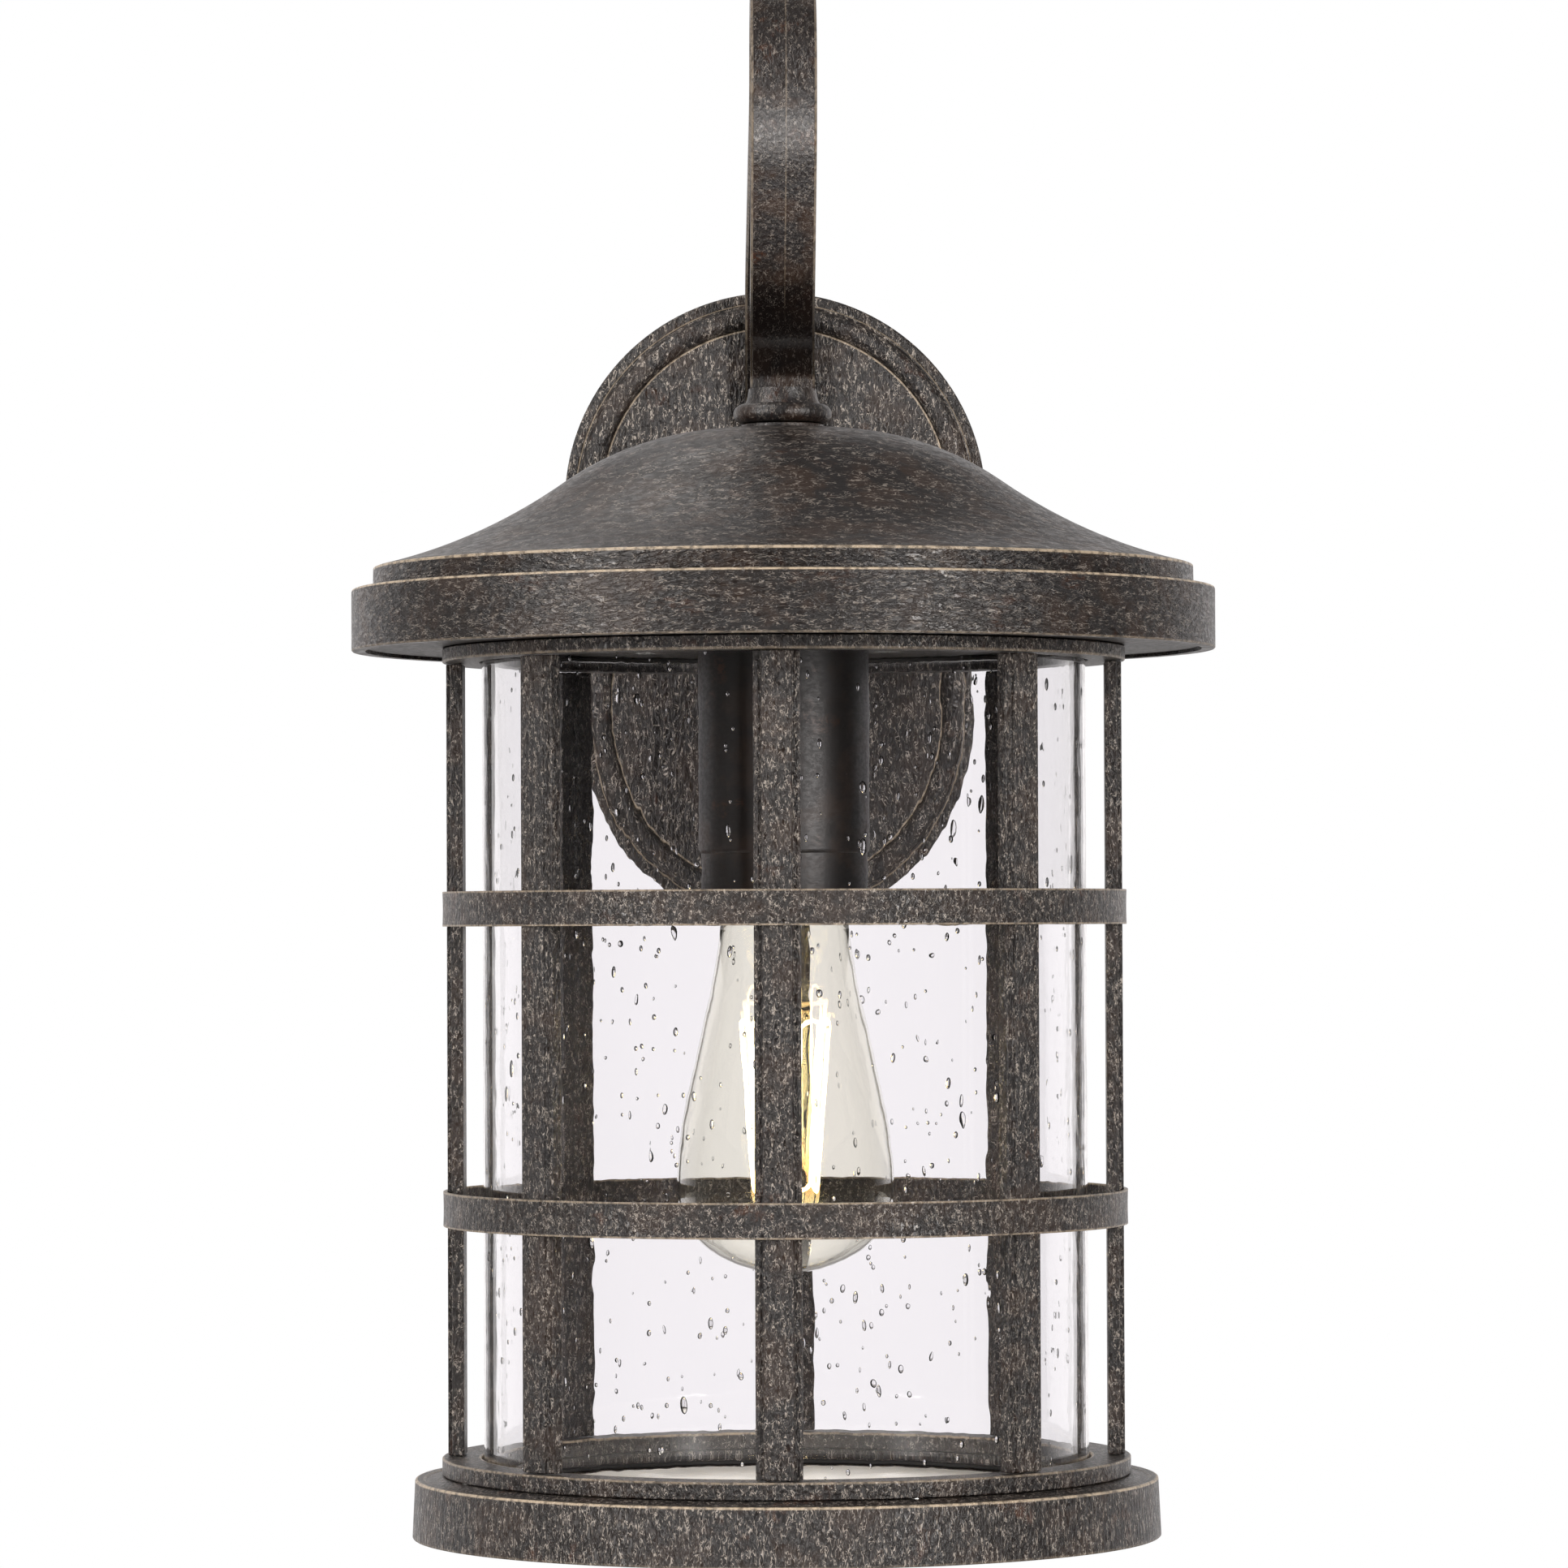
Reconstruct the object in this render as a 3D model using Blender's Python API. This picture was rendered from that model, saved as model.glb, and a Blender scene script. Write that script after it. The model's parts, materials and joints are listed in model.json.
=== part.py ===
"""Outdoor wall lantern: round ogee roof and seeded-glass cylinder in a barred cage, hung from a strap hook arm.

Frame: the wall is the plane y = 0, the room is towards -Y, +Z is up. The origin is the middle of the
crossbar's back face, which lies on the wall's junction box. Metres.
"""

from math import asin, cos, hypot, pi, radians, sin, sqrt

import bmesh
import bpy
from mathutils import Matrix, Vector

MM = 0.001
GAP = 0.3 * MM  # between pieces that touch

# Overall layout
REACH = 165 * MM  # wall to the lantern's axis
CAGE_TURN = radians(-2.1)  # how far the cage is turned on its pipe against the arm
ROUND = 36  # facets on the large turned pieces
ROUND_MEDIUM = 20
ROUND_SMALL = 10

# Heights, down the lantern
ROOF_TOP = 45.5 * MM
FASCIA_TOP = -1.6 * MM
FASCIA_BOTTOM = -19.7 * MM
CAGE_HEIGHT = 232.3 * MM  # clear length of the cage bars

# Backplate
PLATE_WIDTH = 133.5 * MM
PLATE_HEIGHT = 200.5 * MM
PLATE_WALL = 2.4 * MM
PLATE_PANEL = 16.9 * MM  # wall to the face of the flat inner panel
PLATE_RIM = 3.3 * MM  # flat outer rim
PLATE_RIM_HEIGHT = 14.6 * MM
COVE_WIDTH = 1.2 * MM  # between the rim and the bead
COVE_DEPTH = 1 * MM  # below the panel's face
BEAD_WIDTH = 6.7 * MM
BEAD_RISE = 2.6 * MM
BEAD_STEPS = 4
PLATE_FILLET = 3.4 * MM  # inside, where the hollow's wall meets the panel
PLATE_ARC = 14  # facets round each end
GASKET = 1.2 * MM
GASKET_WIDTH = 6 * MM

# Crossbar and its studs
CROSSBAR_INSET = 10.75 * MM  # bar's end, inside the plate's edge
CROSSBAR_WIDTH = 18 * MM
CROSSBAR_THICK = 2 * MM
SLOT_SPACING = 88.9 * MM  # screws of a junction box
SLOT_LENGTH = 9 * MM
SLOT_WIDTH = 4.8 * MM
STUD_SPACING = 66 * MM
STUD_RADIUS = 2.05 * MM
CAP_NUT_RADIUS = 6 * MM
CAP_NUT_HEIGHT = 10 * MM
CAP_NUT_BORE = 6 * MM  # depth of its blind bore
CAP_NUT_FOOT = 1.2 * MM
GROUND_X = -16 * MM
GROUND_SAG = 6 * MM
SCREW_HEAD = 2.2 * MM
SCREW_HEAD_RADIUS = 4 * MM

# Hook arm: a cast strap with a wire channel inside
STRAP_WIDTH = 19 * MM
STRAP_THICK = 8 * MM
STRAP_CHAMFER = 0.7 * MM
CHANNEL_WIDTH = 12 * MM
CHANNEL_THICK = 4.5 * MM
NECK_STRAIGHT = 12 * MM
LEAN = radians(42)  # of the front leg
LEAN_RADIUS = 32 * MM
LEAN_STRAIGHT = 46.2 * MM
BROW_RADIUS = 42 * MM
HOOK_RADIUS = 20 * MM
HOOK_BACK = radians(160)  # heading where the hook turns into the rear leg
FLARE_RADIUS = 26 * MM
REAR_SLOPE = radians(16)
ELBOW_RADIUS = 28 * MM
FOOT_BELOW = 30 * MM  # foot's end, below the plate's centre
ARC_STEP = radians(13)
ARM_SCREW_HEIGHTS = {"arm_screw_upper": 40 * MM, "arm_screw_lower": -12 * MM}
ARM_SCREW_RADIUS = 2 * MM
WIRE_ENTRY = 63 * MM  # height of the hole that lets the wires into the arm
WIRE_ENTRY_HEIGHT = 11 * MM

# Boss at the arm's lower end, collar and lamp pipe
BEAD_RADIUS = 14.5 * MM
BOSS_BEAD = 5.6 * MM
FLARE_FOOT = 11.3 * MM
FLARE_TOP = 9.9 * MM
FLARE_HEIGHT = 4.6 * MM
COLLAR_RADIUS = 12 * MM
COLLAR_THICK = 1.2 * MM
PIPE_RADIUS = 4.8 * MM
PIPE_BORE = 3.7 * MM
PIPE_IN_BOSS = 9 * MM
PIPE_HEADROOM = 1 * MM  # above the pipe, in the boss
NECK_IN_BOSS = 6 * MM  # length of strap let into the boss
FLARE_STEPS = 3
PIPE_BELOW_PAN = 11 * MM
NUT_WALL = 3.7 * MM  # of the pipe's nuts, at their corners
NUT_HEIGHT = 4 * MM

# Roof
FASCIA_RADIUS = 127 * MM
FASCIA_WALL = 4 * MM
TIER_SET_IN = 6.4 * MM  # upper tier, inside the fascia
ROOF_WALL = 2 * MM
DOME_FLAT = 14.5 * MM  # radius of the level crown
DOME_STEEPEST = radians(35)
DOME_CONVEX = 88 * MM
DOME_CONCAVE = 160 * MM
DOME_STEPS = 4
EDGE_ROUND = 0.8 * MM
TIER_DRAFT = 0.2 * MM
PAN_RECESS = 1 * MM  # pan, above the fascia's bottom
SHEET = 1.2 * MM

# Cage and glass
GLASS_RADIUS = 88.8 * MM
GLASS_WALL = 3.2 * MM
GLASS_PLAY = 0.4 * MM  # between the glass and the rings round it
GLASS_SEAL = 1 * MM
RING_WIDTH = 10.9 * MM  # across the top ring's flat face
TOP_RING = 4.1 * MM
BOTTOM_RING = 5 * MM
BOTTOM_RING_PROUD = 0.6 * MM  # beyond the top ring
CAGE_EASE = 0.5 * MM  # of the rings' and bands' edges
BAR_COUNT = 8
BAR_WIDTH = 13.2 * MM
BAR_DEPTH = 4.9 * MM
BAR_SET_IN = 1.2 * MM  # rib's face, inside the top ring's edge
RIB_WIDTH = 8.6 * MM
RIB_PROUD = 1.4 * MM
BAND_UPPER = 66.9 * MM  # bar top to band top
BAND_LOWER = 154.7 * MM
BAND_HEIGHT = 10.2 * MM
BAND_PROUD = 1.4 * MM  # beyond the bars' faces
CAGE_SCREW_COUNT = 3
CAGE_SCREW_RADIUS = 1.5 * MM
CAGE_SCREW_HEAD = 2.8 * MM
CAGE_SCREW_HEAD_HEIGHT = 2 * MM
CAGE_SCREW_SHORT = 0.8 * MM  # metal left under its blind hole in the top ring
CAGE_SCREW_SIDES = 10

# Base
BASE_STEP = 8 * MM  # base's shoulder, beyond the bottom ring
BASE_SPREAD = 0.8 * MM  # of the side, from shoulder to foot
BASE_SHOULDER_DROP = 0.9 * MM  # shoulder, below the deck
BASE_SIDE = 17.2 * MM
BASE_WALL = 3.3 * MM
BASE_DECK = 7.4 * MM
BASE_EASE = 0.5 * MM
SHOULDER_WIDTH = 2.5 * MM
COVE_FALL = 0.6 * MM
COVE_RUN = 1.5 * MM
LEDGE_WIDTH = 4.8 * MM  # ledge's inner edge, inside the glass's outside
LEDGE_THICK = 3.1 * MM
PAN_FLANGE_WIDTH = 12 * MM
PAN_DROP = 3.3 * MM
PAN_EASE = 0.6 * MM
THUMB_COUNT = 3
THUMB_RADIUS = 5 * MM
THUMB_HEAD = 4.2 * MM
THUMB_FOOT = 0.9 * MM
THUMB_NECK = 3.6 * MM
THUMB_SHANK = 1.9 * MM
THUMB_SHORT = 0.6 * MM  # metal left over its blind hole in the ledge
BASE_SCREW_HEAD = 2.6 * MM
BASE_SCREW_BITE = 3 * MM  # into the bottom ring

# Socket and its cover
COVER_RADIUS = 25.1 * MM
COVER_DRAW = 0.6 * MM  # its lower part is smaller by this
COVER_STEP = 60.4 * MM  # pan to the small step
COVER_LENGTH = 81.7 * MM
COVER_WALL = 1.1 * MM
COVER_EASE = 1 * MM
SOCKET_RADIUS = 18.6 * MM
SOCKET_TOP = 31 * MM  # pan to the socket's top
SOCKET_LENGTH = 42 * MM
SOCKET_EASE = 1.5 * MM
SOCKET_FLOOR = 3 * MM  # bulb's centre contact to the socket's seat
SHELL_WALL = 0.5 * MM
SHELL_SHORT = 2.5 * MM  # shell's end, inside the socket's mouth
SHELL_OPENING = 9 * MM
CONTACT_BORE = 1.6 * MM
CONTACT_RADIUS = 3.6 * MM
BULB_IN_SOCKET = 13 * MM  # bulb's top, below the socket's top
BRACKET_LAND = 2 * MM  # metal on either side of the pipe's hole
BRACKET_THICK = 1.2 * MM
BRACKET_FOOT = 5 * MM

# Bulb, an ST64 on an E26 cap
CAP_RADIUS = 13.1 * MM
CAP_LENGTH = 24 * MM
CAP_WALL = 0.6 * MM
CAP_CROWN = 9 * MM
CAP_CONE = 3 * MM  # cap's crown, below the centre contact
CAP_CHAMFER = 2 * MM
TIP_CONTACT_RADIUS = 2.6 * MM
TIP_CONTACT_ROUND = 0.6 * MM
BULB_LENGTH = 140 * MM
BULB_RADIUS = 32 * MM
BULB_WIDEST = 24.2 * MM  # widest place, above the bulb's tip
BULB_SHOULDER = 101 * MM  # where the neck opens, above the tip
BULB_SHOULDER_RADIUS = 19 * MM
BULB_NECK_RADIUS = 12.4 * MM
BULB_NECK_STRAIGHT = 4 * MM  # below the cap, before the glass widens
BULB_WALL = 0.7 * MM
BULB_TIP_STEPS = 5
BULB_BODY_STEPS = 4
BULB_NECK_STEPS = 3
FILAMENT_TOP = 74.3 * MM  # above the bulb's tip
FILAMENT_BOTTOM = 20 * MM
FILAMENT_RADIUS = 13 * MM
FILAMENT_WIRE = 0.45 * MM
FILAMENT_LEGS = 10
FILAMENT_TURN = 2 * MM
FILAMENT_TAPER = 0.72  # of the loops' radius, from top to bottom
STEM_RADIUS = 3.2 * MM
STEM_ROD = 1.3 * MM
STEM_OVER_FILAMENT = 12 * MM

# Wires
WIRE_RADIUS = 1.1 * MM
WIRE_PITCH = 3.2 * MM
WIRE_TURN = 3 * MM
WIRE_BEND = 4 * MM  # where the wires leave the plate's hollow
WIRE_STEPS = 7
WIRE_BEND_STEPS = 4
WIRE_SPREAD = 3.4 * MM  # at the socket
WIRE_NUT_FOOT = 22 * MM  # height of its closed end
WIRE_NUT_LENGTH = 20 * MM
WIRE_NUT_RADIUS = 4.8 * MM
WIRE_NUT_TAPER = 3.4 * MM
WIRE_NUT_SPACING = 26 * MM
GROUND_STEPS = 10

# Radii that follow from the sizes above
FACET_FLAT = cos(pi / ROUND)  # a large facet's middle, as a share of its corners' radius
TIER_RADIUS = FASCIA_RADIUS - TIER_SET_IN
RING_INNER = (GLASS_RADIUS + GLASS_PLAY) / FACET_FLAT
RING_OUTER = RING_INNER + RING_WIDTH
BAR_FACE = RING_OUTER - BAR_SET_IN
BAND_INNER = (hypot(BAR_FACE - RIB_PROUD, BAR_WIDTH / 2) + GAP) / FACET_FLAT
BAND_OUTER = BAR_FACE + BAND_PROUD
BOTTOM_RING_OUTER = RING_OUTER + BOTTOM_RING_PROUD
BASE_TOP_RADIUS = BOTTOM_RING_OUTER + BASE_STEP
BASE_FOOT_RADIUS = BASE_TOP_RADIUS + BASE_SPREAD
LEDGE_INNER = GLASS_RADIUS - LEDGE_WIDTH
PAN_FLANGE = LEDGE_INNER + PAN_FLANGE_WIDTH
THUMB_CIRCLE = LEDGE_INNER + PAN_FLANGE_WIDTH / 2
BASE_SCREW_CIRCLE = PAN_FLANGE + BASE_SCREW_HEAD + GAP
CAGE_SCREW_CIRCLE = (RING_INNER + RING_OUTER) / 2
COVER_LOWER_RADIUS = COVER_RADIUS - COVER_DRAW
CROSSBAR_LENGTH = PLATE_WIDTH - 2 * CROSSBAR_INSET
PIPE_CLEARANCE = PIPE_RADIUS + GAP
NUT_RADIUS = PIPE_RADIUS + NUT_WALL
BRACKET_WIDTH = 2 * (PIPE_CLEARANCE + BRACKET_LAND)

# Heights and depths that follow
PAN_BOTTOM = FASCIA_BOTTOM + PAN_RECESS
PAN_TOP = PAN_BOTTOM + SHEET
TOP_RING_TOP = PAN_BOTTOM - GAP
BAR_TOP = TOP_RING_TOP - TOP_RING - GAP
BAR_BOTTOM = BAR_TOP - CAGE_HEIGHT
BOTTOM_RING_TOP = BAR_BOTTOM - GAP
DECK_TOP = BOTTOM_RING_TOP - BOTTOM_RING - GAP
DECK_BOTTOM = DECK_TOP - BASE_DECK
LEDGE_TOP = DECK_BOTTOM + LEDGE_THICK
BASE_EDGE = DECK_TOP - BASE_SHOULDER_DROP
BASE_BOTTOM = BASE_EDGE - BASE_SIDE
FLANGE_TOP = DECK_BOTTOM - GAP
FLANGE_BOTTOM = FLANGE_TOP - SHEET
GLASS_TOP = PAN_BOTTOM - GAP - GLASS_SEAL - GAP
GLASS_BOTTOM = LEDGE_TOP + GAP + GLASS_SEAL + GAP
COLLAR_BOTTOM = ROOF_TOP + GAP
BOSS_BOTTOM = COLLAR_BOTTOM + COLLAR_THICK + GAP
BOSS_TOP = BOSS_BOTTOM + BOSS_BEAD + FLARE_HEIGHT
PIPE_TOP = BOSS_BOTTOM + PIPE_IN_BOSS - PIPE_HEADROOM
PIPE_BOTTOM = PAN_BOTTOM - PIPE_BELOW_PAN
COVER_TOP = PAN_BOTTOM - GAP
BRACKET_TOP = COVER_TOP - COVER_WALL - GAP
SOCKET_HIGH = PAN_BOTTOM - SOCKET_TOP
SOCKET_LOW = SOCKET_HIGH - SOCKET_LENGTH
BULB_TOP = SOCKET_HIGH - BULB_IN_SOCKET
BULB_TIP = BULB_TOP - BULB_LENGTH
CAP_LOW = BULB_TOP - CAP_LENGTH
PLATE_BACK = GASKET + GAP
PANEL_BACK = PLATE_PANEL - PLATE_WALL
WIRE_DEPTH = PANEL_BACK - WIRE_NUT_RADIUS - 1.2 * MM
FOOT_BACK = PLATE_PANEL + GAP
FOOT_DEPTH = FOOT_BACK + STRAP_THICK / 2


def clear_scene():
    for thing in list(bpy.data.objects):
        bpy.data.objects.remove(thing, do_unlink=True)


def finish(name, color, roughness, metallic, alpha=1.0):
    """One Principled material for each kind of finish, made once."""
    if name in bpy.data.materials:
        return bpy.data.materials[name]
    material = bpy.data.materials.new(name)
    material.use_nodes = True
    shader = material.node_tree.nodes["Principled BSDF"]
    shader.inputs["Base Color"].default_value = (*color, 1)
    shader.inputs["Roughness"].default_value = roughness
    shader.inputs["Metallic"].default_value = metallic
    shader.inputs["Alpha"].default_value = alpha
    return material


def bronze():
    return finish("textured_bronze", (0.045, 0.034, 0.029), 0.42, 0.6)


def satin_bronze():
    return finish("satin_bronze", (0.04, 0.031, 0.027), 0.33, 0.6)


def zinc():
    return finish("zinc_plate", (0.62, 0.62, 0.6), 0.35, 1.0)


def brass():
    return finish("brass", (0.72, 0.5, 0.2), 0.3, 1.0)


def porcelain():
    return finish("porcelain", (0.85, 0.84, 0.8), 0.25, 0.0)


def rubber():
    return finish("rubber", (0.03, 0.03, 0.03), 0.8, 0.0)


def seeded_glass():
    return finish("seeded_glass", (0.95, 0.96, 0.95), 0.02, 0.0, 0.25)


def bulb_glass_finish():
    return finish("bulb_glass", (0.75, 0.62, 0.38), 0.02, 0.0, 0.3)


def tungsten():
    return finish("tungsten", (1.0, 0.72, 0.35), 0.5, 1.0)


def insulation(name, color):
    return finish(name, color, 0.5, 0.0)


def add_object(name, mesh, material, smooth=True):
    """Writes a bmesh to a new object with its faces pointing out."""
    bmesh.ops.recalc_face_normals(mesh, faces=mesh.faces)
    data = bpy.data.meshes.new(name)
    mesh.to_mesh(data)
    mesh.free()
    if smooth:
        data.shade_smooth()
        data.set_sharp_from_angle(angle=radians(35))
    data.materials.append(material)
    thing = bpy.data.objects.new(name, data)
    bpy.context.scene.collection.objects.link(thing)
    return thing


def place(thing, position, turn=0.0, pointing=(0, 0, 1)):
    """Moves an object to its place, its +Z turned to point along a direction."""
    tilt = Vector((0, 0, 1)).rotation_difference(Vector(pointing))
    thing.rotation_euler = (tilt.to_matrix() @ Matrix.Rotation(turn, 3, "Z")).to_euler()
    thing.location = position
    return thing


def on_axis(height=0.0):
    return (0, -REACH, height)


def around(radius, angle, height):
    """A point on a circle about the lantern's axis; the angle runs from the front (-Y) towards +X."""
    return (radius * sin(angle), -REACH - radius * cos(angle), height)


def arc(centre, radius, start, end, steps):
    """Points on a circle, from one angle to another, in degrees from +X towards +Z."""
    angles = [radians(start + (end - start) * step / steps) for step in range(steps + 1)]
    return [(centre[0] + radius * cos(angle), centre[1] + radius * sin(angle)) for angle in angles]


def turned(name, profile, segments, material):
    """Spins an outline of (radius, height) points round Z; it is closed, or starts and ends on the axis."""
    mesh = bmesh.new()
    points = [mesh.verts.new((radius, 0, height)) for radius, height in profile]
    pairs = list(zip(points, points[1:]))
    if profile[0][0] > 0:
        pairs.append((points[-1], points[0]))
    edges = [mesh.edges.new(pair) for pair in pairs]
    bmesh.ops.spin(
        mesh, geom=points + edges, cent=(0, 0, 0), axis=(0, 0, 1), angle=2 * pi, steps=segments, use_merge=True
    )
    bmesh.ops.remove_doubles(mesh, verts=mesh.verts, dist=0.001 * MM)
    return add_object(name, mesh, material)


def ring(name, inner, outer, bottom, top, segments, material):
    """A plain turned ring of rectangular section."""
    return turned(name, [(inner, bottom), (outer, bottom), (outer, top), (inner, top)], segments, material)


def block(mesh, low, high):
    """Adds a box between two corners."""
    size = [end - start for start, end in zip(low, high)]
    middle = [(start + end) / 2 for start, end in zip(low, high)]
    matrix = Matrix.Translation(middle) @ Matrix.Diagonal((*size, 1))
    bmesh.ops.create_cube(mesh, size=1, matrix=matrix)


def rod(mesh, start, end, radius, segments=ROUND_SMALL):
    """Adds a round bar between two points."""
    start = Vector(start)
    along = Vector(end) - start
    turn = Vector((0, 0, 1)).rotation_difference(along).to_matrix().to_4x4()
    matrix = Matrix.Translation(start + along / 2) @ turn
    bmesh.ops.create_cone(
        mesh, cap_ends=True, segments=segments, radius1=radius, radius2=radius, depth=along.length, matrix=matrix
    )


def cutter(name, mesh):
    """A helper that only cuts: hidden in renders."""
    thing = add_object(name, mesh, bronze(), smooth=False)
    thing.hide_render = True
    thing.display_type = "WIRE"
    return thing


def combine(thing, other, operation):
    modifier = thing.modifiers.new(operation.lower() + "_" + other.name, "BOOLEAN")
    modifier.operation = operation
    modifier.object = other


def wall_point(x, depth, height):
    """A point by its distance out from the wall."""
    return (x, -depth, height)


# ---------------------------------------------------------------- backplate and fixings


def capsule_loop(mesh, inset, depth):
    """One loop of points round a capsule outline, inset from the plate's edge."""
    radius = PLATE_WIDTH / 2 - inset
    straight = (PLATE_HEIGHT - PLATE_WIDTH) / 2
    points = []
    for side in (1, -1):
        for step in range(PLATE_ARC + 1):
            angle = pi * step / PLATE_ARC + (0 if side > 0 else pi)
            x = radius * cos(angle)
            z = radius * sin(angle) + side * straight
            points.append(mesh.verts.new(wall_point(x, depth, z)))
    return points


def join_loops(mesh, loops, capped):
    """Skins between loops in turn, then caps the ends or closes the last loop to the first."""
    pairs = list(zip(loops, loops[1:]))
    if not capped:
        pairs.append((loops[-1], loops[0]))
    for first, second in pairs:
        for index in range(len(first)):
            after = (index + 1) % len(first)
            mesh.faces.new((first[index], first[after], second[after], second[index]))
    if capped:
        mesh.faces.new(loops[0])
        mesh.faces.new(loops[-1])


def plate_profile():
    """(inset, depth) steps from the hollow's middle, round the back edge, to the front panel."""
    half = BEAD_WIDTH / 2
    middle = PLATE_RIM + COVE_WIDTH + half
    fillet = PLATE_FILLET
    cove = PLATE_PANEL - COVE_DEPTH
    steps = [
        (PLATE_WALL + fillet * 1.5, PANEL_BACK),
        (PLATE_WALL + fillet * 0.6, PANEL_BACK - fillet * 0.3),
        (PLATE_WALL, PANEL_BACK - fillet),
        (PLATE_WALL, PLATE_BACK),
        (0, PLATE_BACK),
        (0, PLATE_RIM_HEIGHT - EDGE_ROUND),
        (EDGE_ROUND * 0.6, PLATE_RIM_HEIGHT - EDGE_ROUND * 0.25),
        (PLATE_RIM, PLATE_RIM_HEIGHT),
        (PLATE_RIM + COVE_WIDTH * 0.2, cove),
    ]
    for step in range(BEAD_STEPS + 1):
        angle = pi * (1 - step / BEAD_STEPS)
        steps.append((middle + half * cos(angle), cove + COVE_DEPTH / 2 + BEAD_RISE * sin(angle)))
    steps.append((middle + half + COVE_WIDTH * 0.25, PLATE_PANEL))
    return steps


def make_backplate():
    mesh = bmesh.new()
    loops = [capsule_loop(mesh, inset, depth) for inset, depth in plate_profile()]
    join_loops(mesh, loops, capped=True)
    plate = add_object("backplate", mesh, bronze())
    holes = bmesh.new()
    for x in (-STUD_SPACING / 2, STUD_SPACING / 2):
        rod(holes, wall_point(x, PANEL_BACK - MM, 0), wall_point(x, PLATE_PANEL + MM, 0), STUD_RADIUS + 2 * GAP)
    for height in ARM_SCREW_HEIGHTS.values():
        start = wall_point(0, PANEL_BACK - MM, height)
        rod(holes, start, wall_point(0, PLATE_PANEL + MM, height), ARM_SCREW_RADIUS + GAP)
    low = (-CHANNEL_WIDTH / 2, -PLATE_PANEL - MM, WIRE_ENTRY - WIRE_ENTRY_HEIGHT / 2)
    high = (CHANNEL_WIDTH / 2, -PANEL_BACK + MM, WIRE_ENTRY + WIRE_ENTRY_HEIGHT / 2)
    block(holes, low, high)
    combine(plate, cutter("cut_backplate", holes), "DIFFERENCE")


def make_gasket():
    mesh = bmesh.new()
    steps = [(0.4 * MM, 0), (0.4 * MM, GASKET), (GASKET_WIDTH, GASKET), (GASKET_WIDTH, 0)]
    loops = [capsule_loop(mesh, inset, depth) for inset, depth in steps]
    join_loops(mesh, loops, capped=False)
    add_object("wall_gasket", mesh, rubber())


def make_crossbar():
    mesh = bmesh.new()
    low = (-CROSSBAR_LENGTH / 2, -CROSSBAR_THICK, -CROSSBAR_WIDTH / 2)
    block(mesh, low, (CROSSBAR_LENGTH / 2, 0, CROSSBAR_WIDTH / 2))
    bar = add_object("crossbar", mesh, zinc(), smooth=False)
    holes = bmesh.new()
    for side in (-1, 1):
        stud = side * STUD_SPACING / 2
        rod(holes, wall_point(stud, -MM, 0), wall_point(stud, CROSSBAR_THICK + MM, 0), STUD_RADIUS + GAP)
        slot = side * SLOT_SPACING / 2
        low = (slot - SLOT_LENGTH / 2, -CROSSBAR_THICK - MM, -SLOT_WIDTH / 2)
        block(holes, low, (slot + SLOT_LENGTH / 2, MM, SLOT_WIDTH / 2))
    ground = wall_point(GROUND_X, -MM, 0)
    rod(holes, ground, wall_point(GROUND_X, CROSSBAR_THICK + MM, 0), ARM_SCREW_RADIUS + GAP)
    combine(bar, cutter("cut_crossbar", holes), "DIFFERENCE")


def screw_profile(shank, length, head, head_height):
    """Pan-head screw: shank from z = 0 down, head above."""
    crown = head * 0.7
    return [
        (0, head_height),
        (crown, head_height),
        (head, head_height / 2),
        (head, 0),
        (shank, 0),
        (shank, -length),
        (0, -length),
    ]


def make_screw(name, position, pointing, shank, length, head, head_height, material):
    """A screw whose head's underside is at a position, its head pointing along a direction."""
    screw = turned(name, screw_profile(shank, length, head, head_height), ROUND_SMALL, material)
    return place(screw, position, pointing=pointing)


def make_hex_nut(name, bore, radius, height, material):
    """Six-sided nut, its bottom at z = 0, with clearance to the thread."""
    corner = (bore + GAP) / cos(pi / 6)
    return ring(name, corner, radius, 0, height, 6, material)


def make_studs():
    for side, label in ((-1, "left"), (1, "right")):
        x = side * STUD_SPACING / 2
        tip = PLATE_PANEL + GAP + CAP_NUT_BORE - GAP
        profile = [(0, tip), (STUD_RADIUS, tip), (STUD_RADIUS, 0), (0, 0)]
        stud = turned("stud_" + label, profile, ROUND_SMALL, zinc())
        place(stud, (x, 0, 0), pointing=(0, -1, 0))
        cap = turned("cap_nut_" + label, cap_nut_profile(), ROUND_SMALL, bronze())
        place(cap, wall_point(x, PLATE_PANEL + GAP, 0), pointing=(0, -1, 0))


def cap_nut_profile():
    """Ball-shaped closed nut on a small foot, with a blind bore for the stud."""
    bore = STUD_RADIUS + GAP
    foot = CAP_NUT_RADIUS * 0.85
    ball = arc((0, CAP_NUT_HEIGHT - CAP_NUT_RADIUS), CAP_NUT_RADIUS, 90, -20, 5)
    ball[0] = (0, CAP_NUT_HEIGHT)
    return ball + [(foot, CAP_NUT_FOOT), (foot, 0), (bore, 0), (bore, CAP_NUT_BORE), (0, CAP_NUT_BORE)]


def make_wall_fixings():
    make_studs()
    make_screw(
        "ground_screw",
        wall_point(GROUND_X, CROSSBAR_THICK + GAP, 0),
        (0, -1, 0),
        ARM_SCREW_RADIUS,
        CROSSBAR_THICK,
        SCREW_HEAD_RADIUS,
        SCREW_HEAD,
        insulation("green_screw", (0.05, 0.3, 0.1)),
    )
    for name, height in ARM_SCREW_HEIGHTS.items():
        make_screw(
            name,
            wall_point(0, PANEL_BACK - GAP, height),
            (0, 1, 0),
            ARM_SCREW_RADIUS,
            PLATE_WALL + STRAP_THICK * 0.7,
            SCREW_HEAD_RADIUS,
            SCREW_HEAD,
            zinc(),
        )


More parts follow.
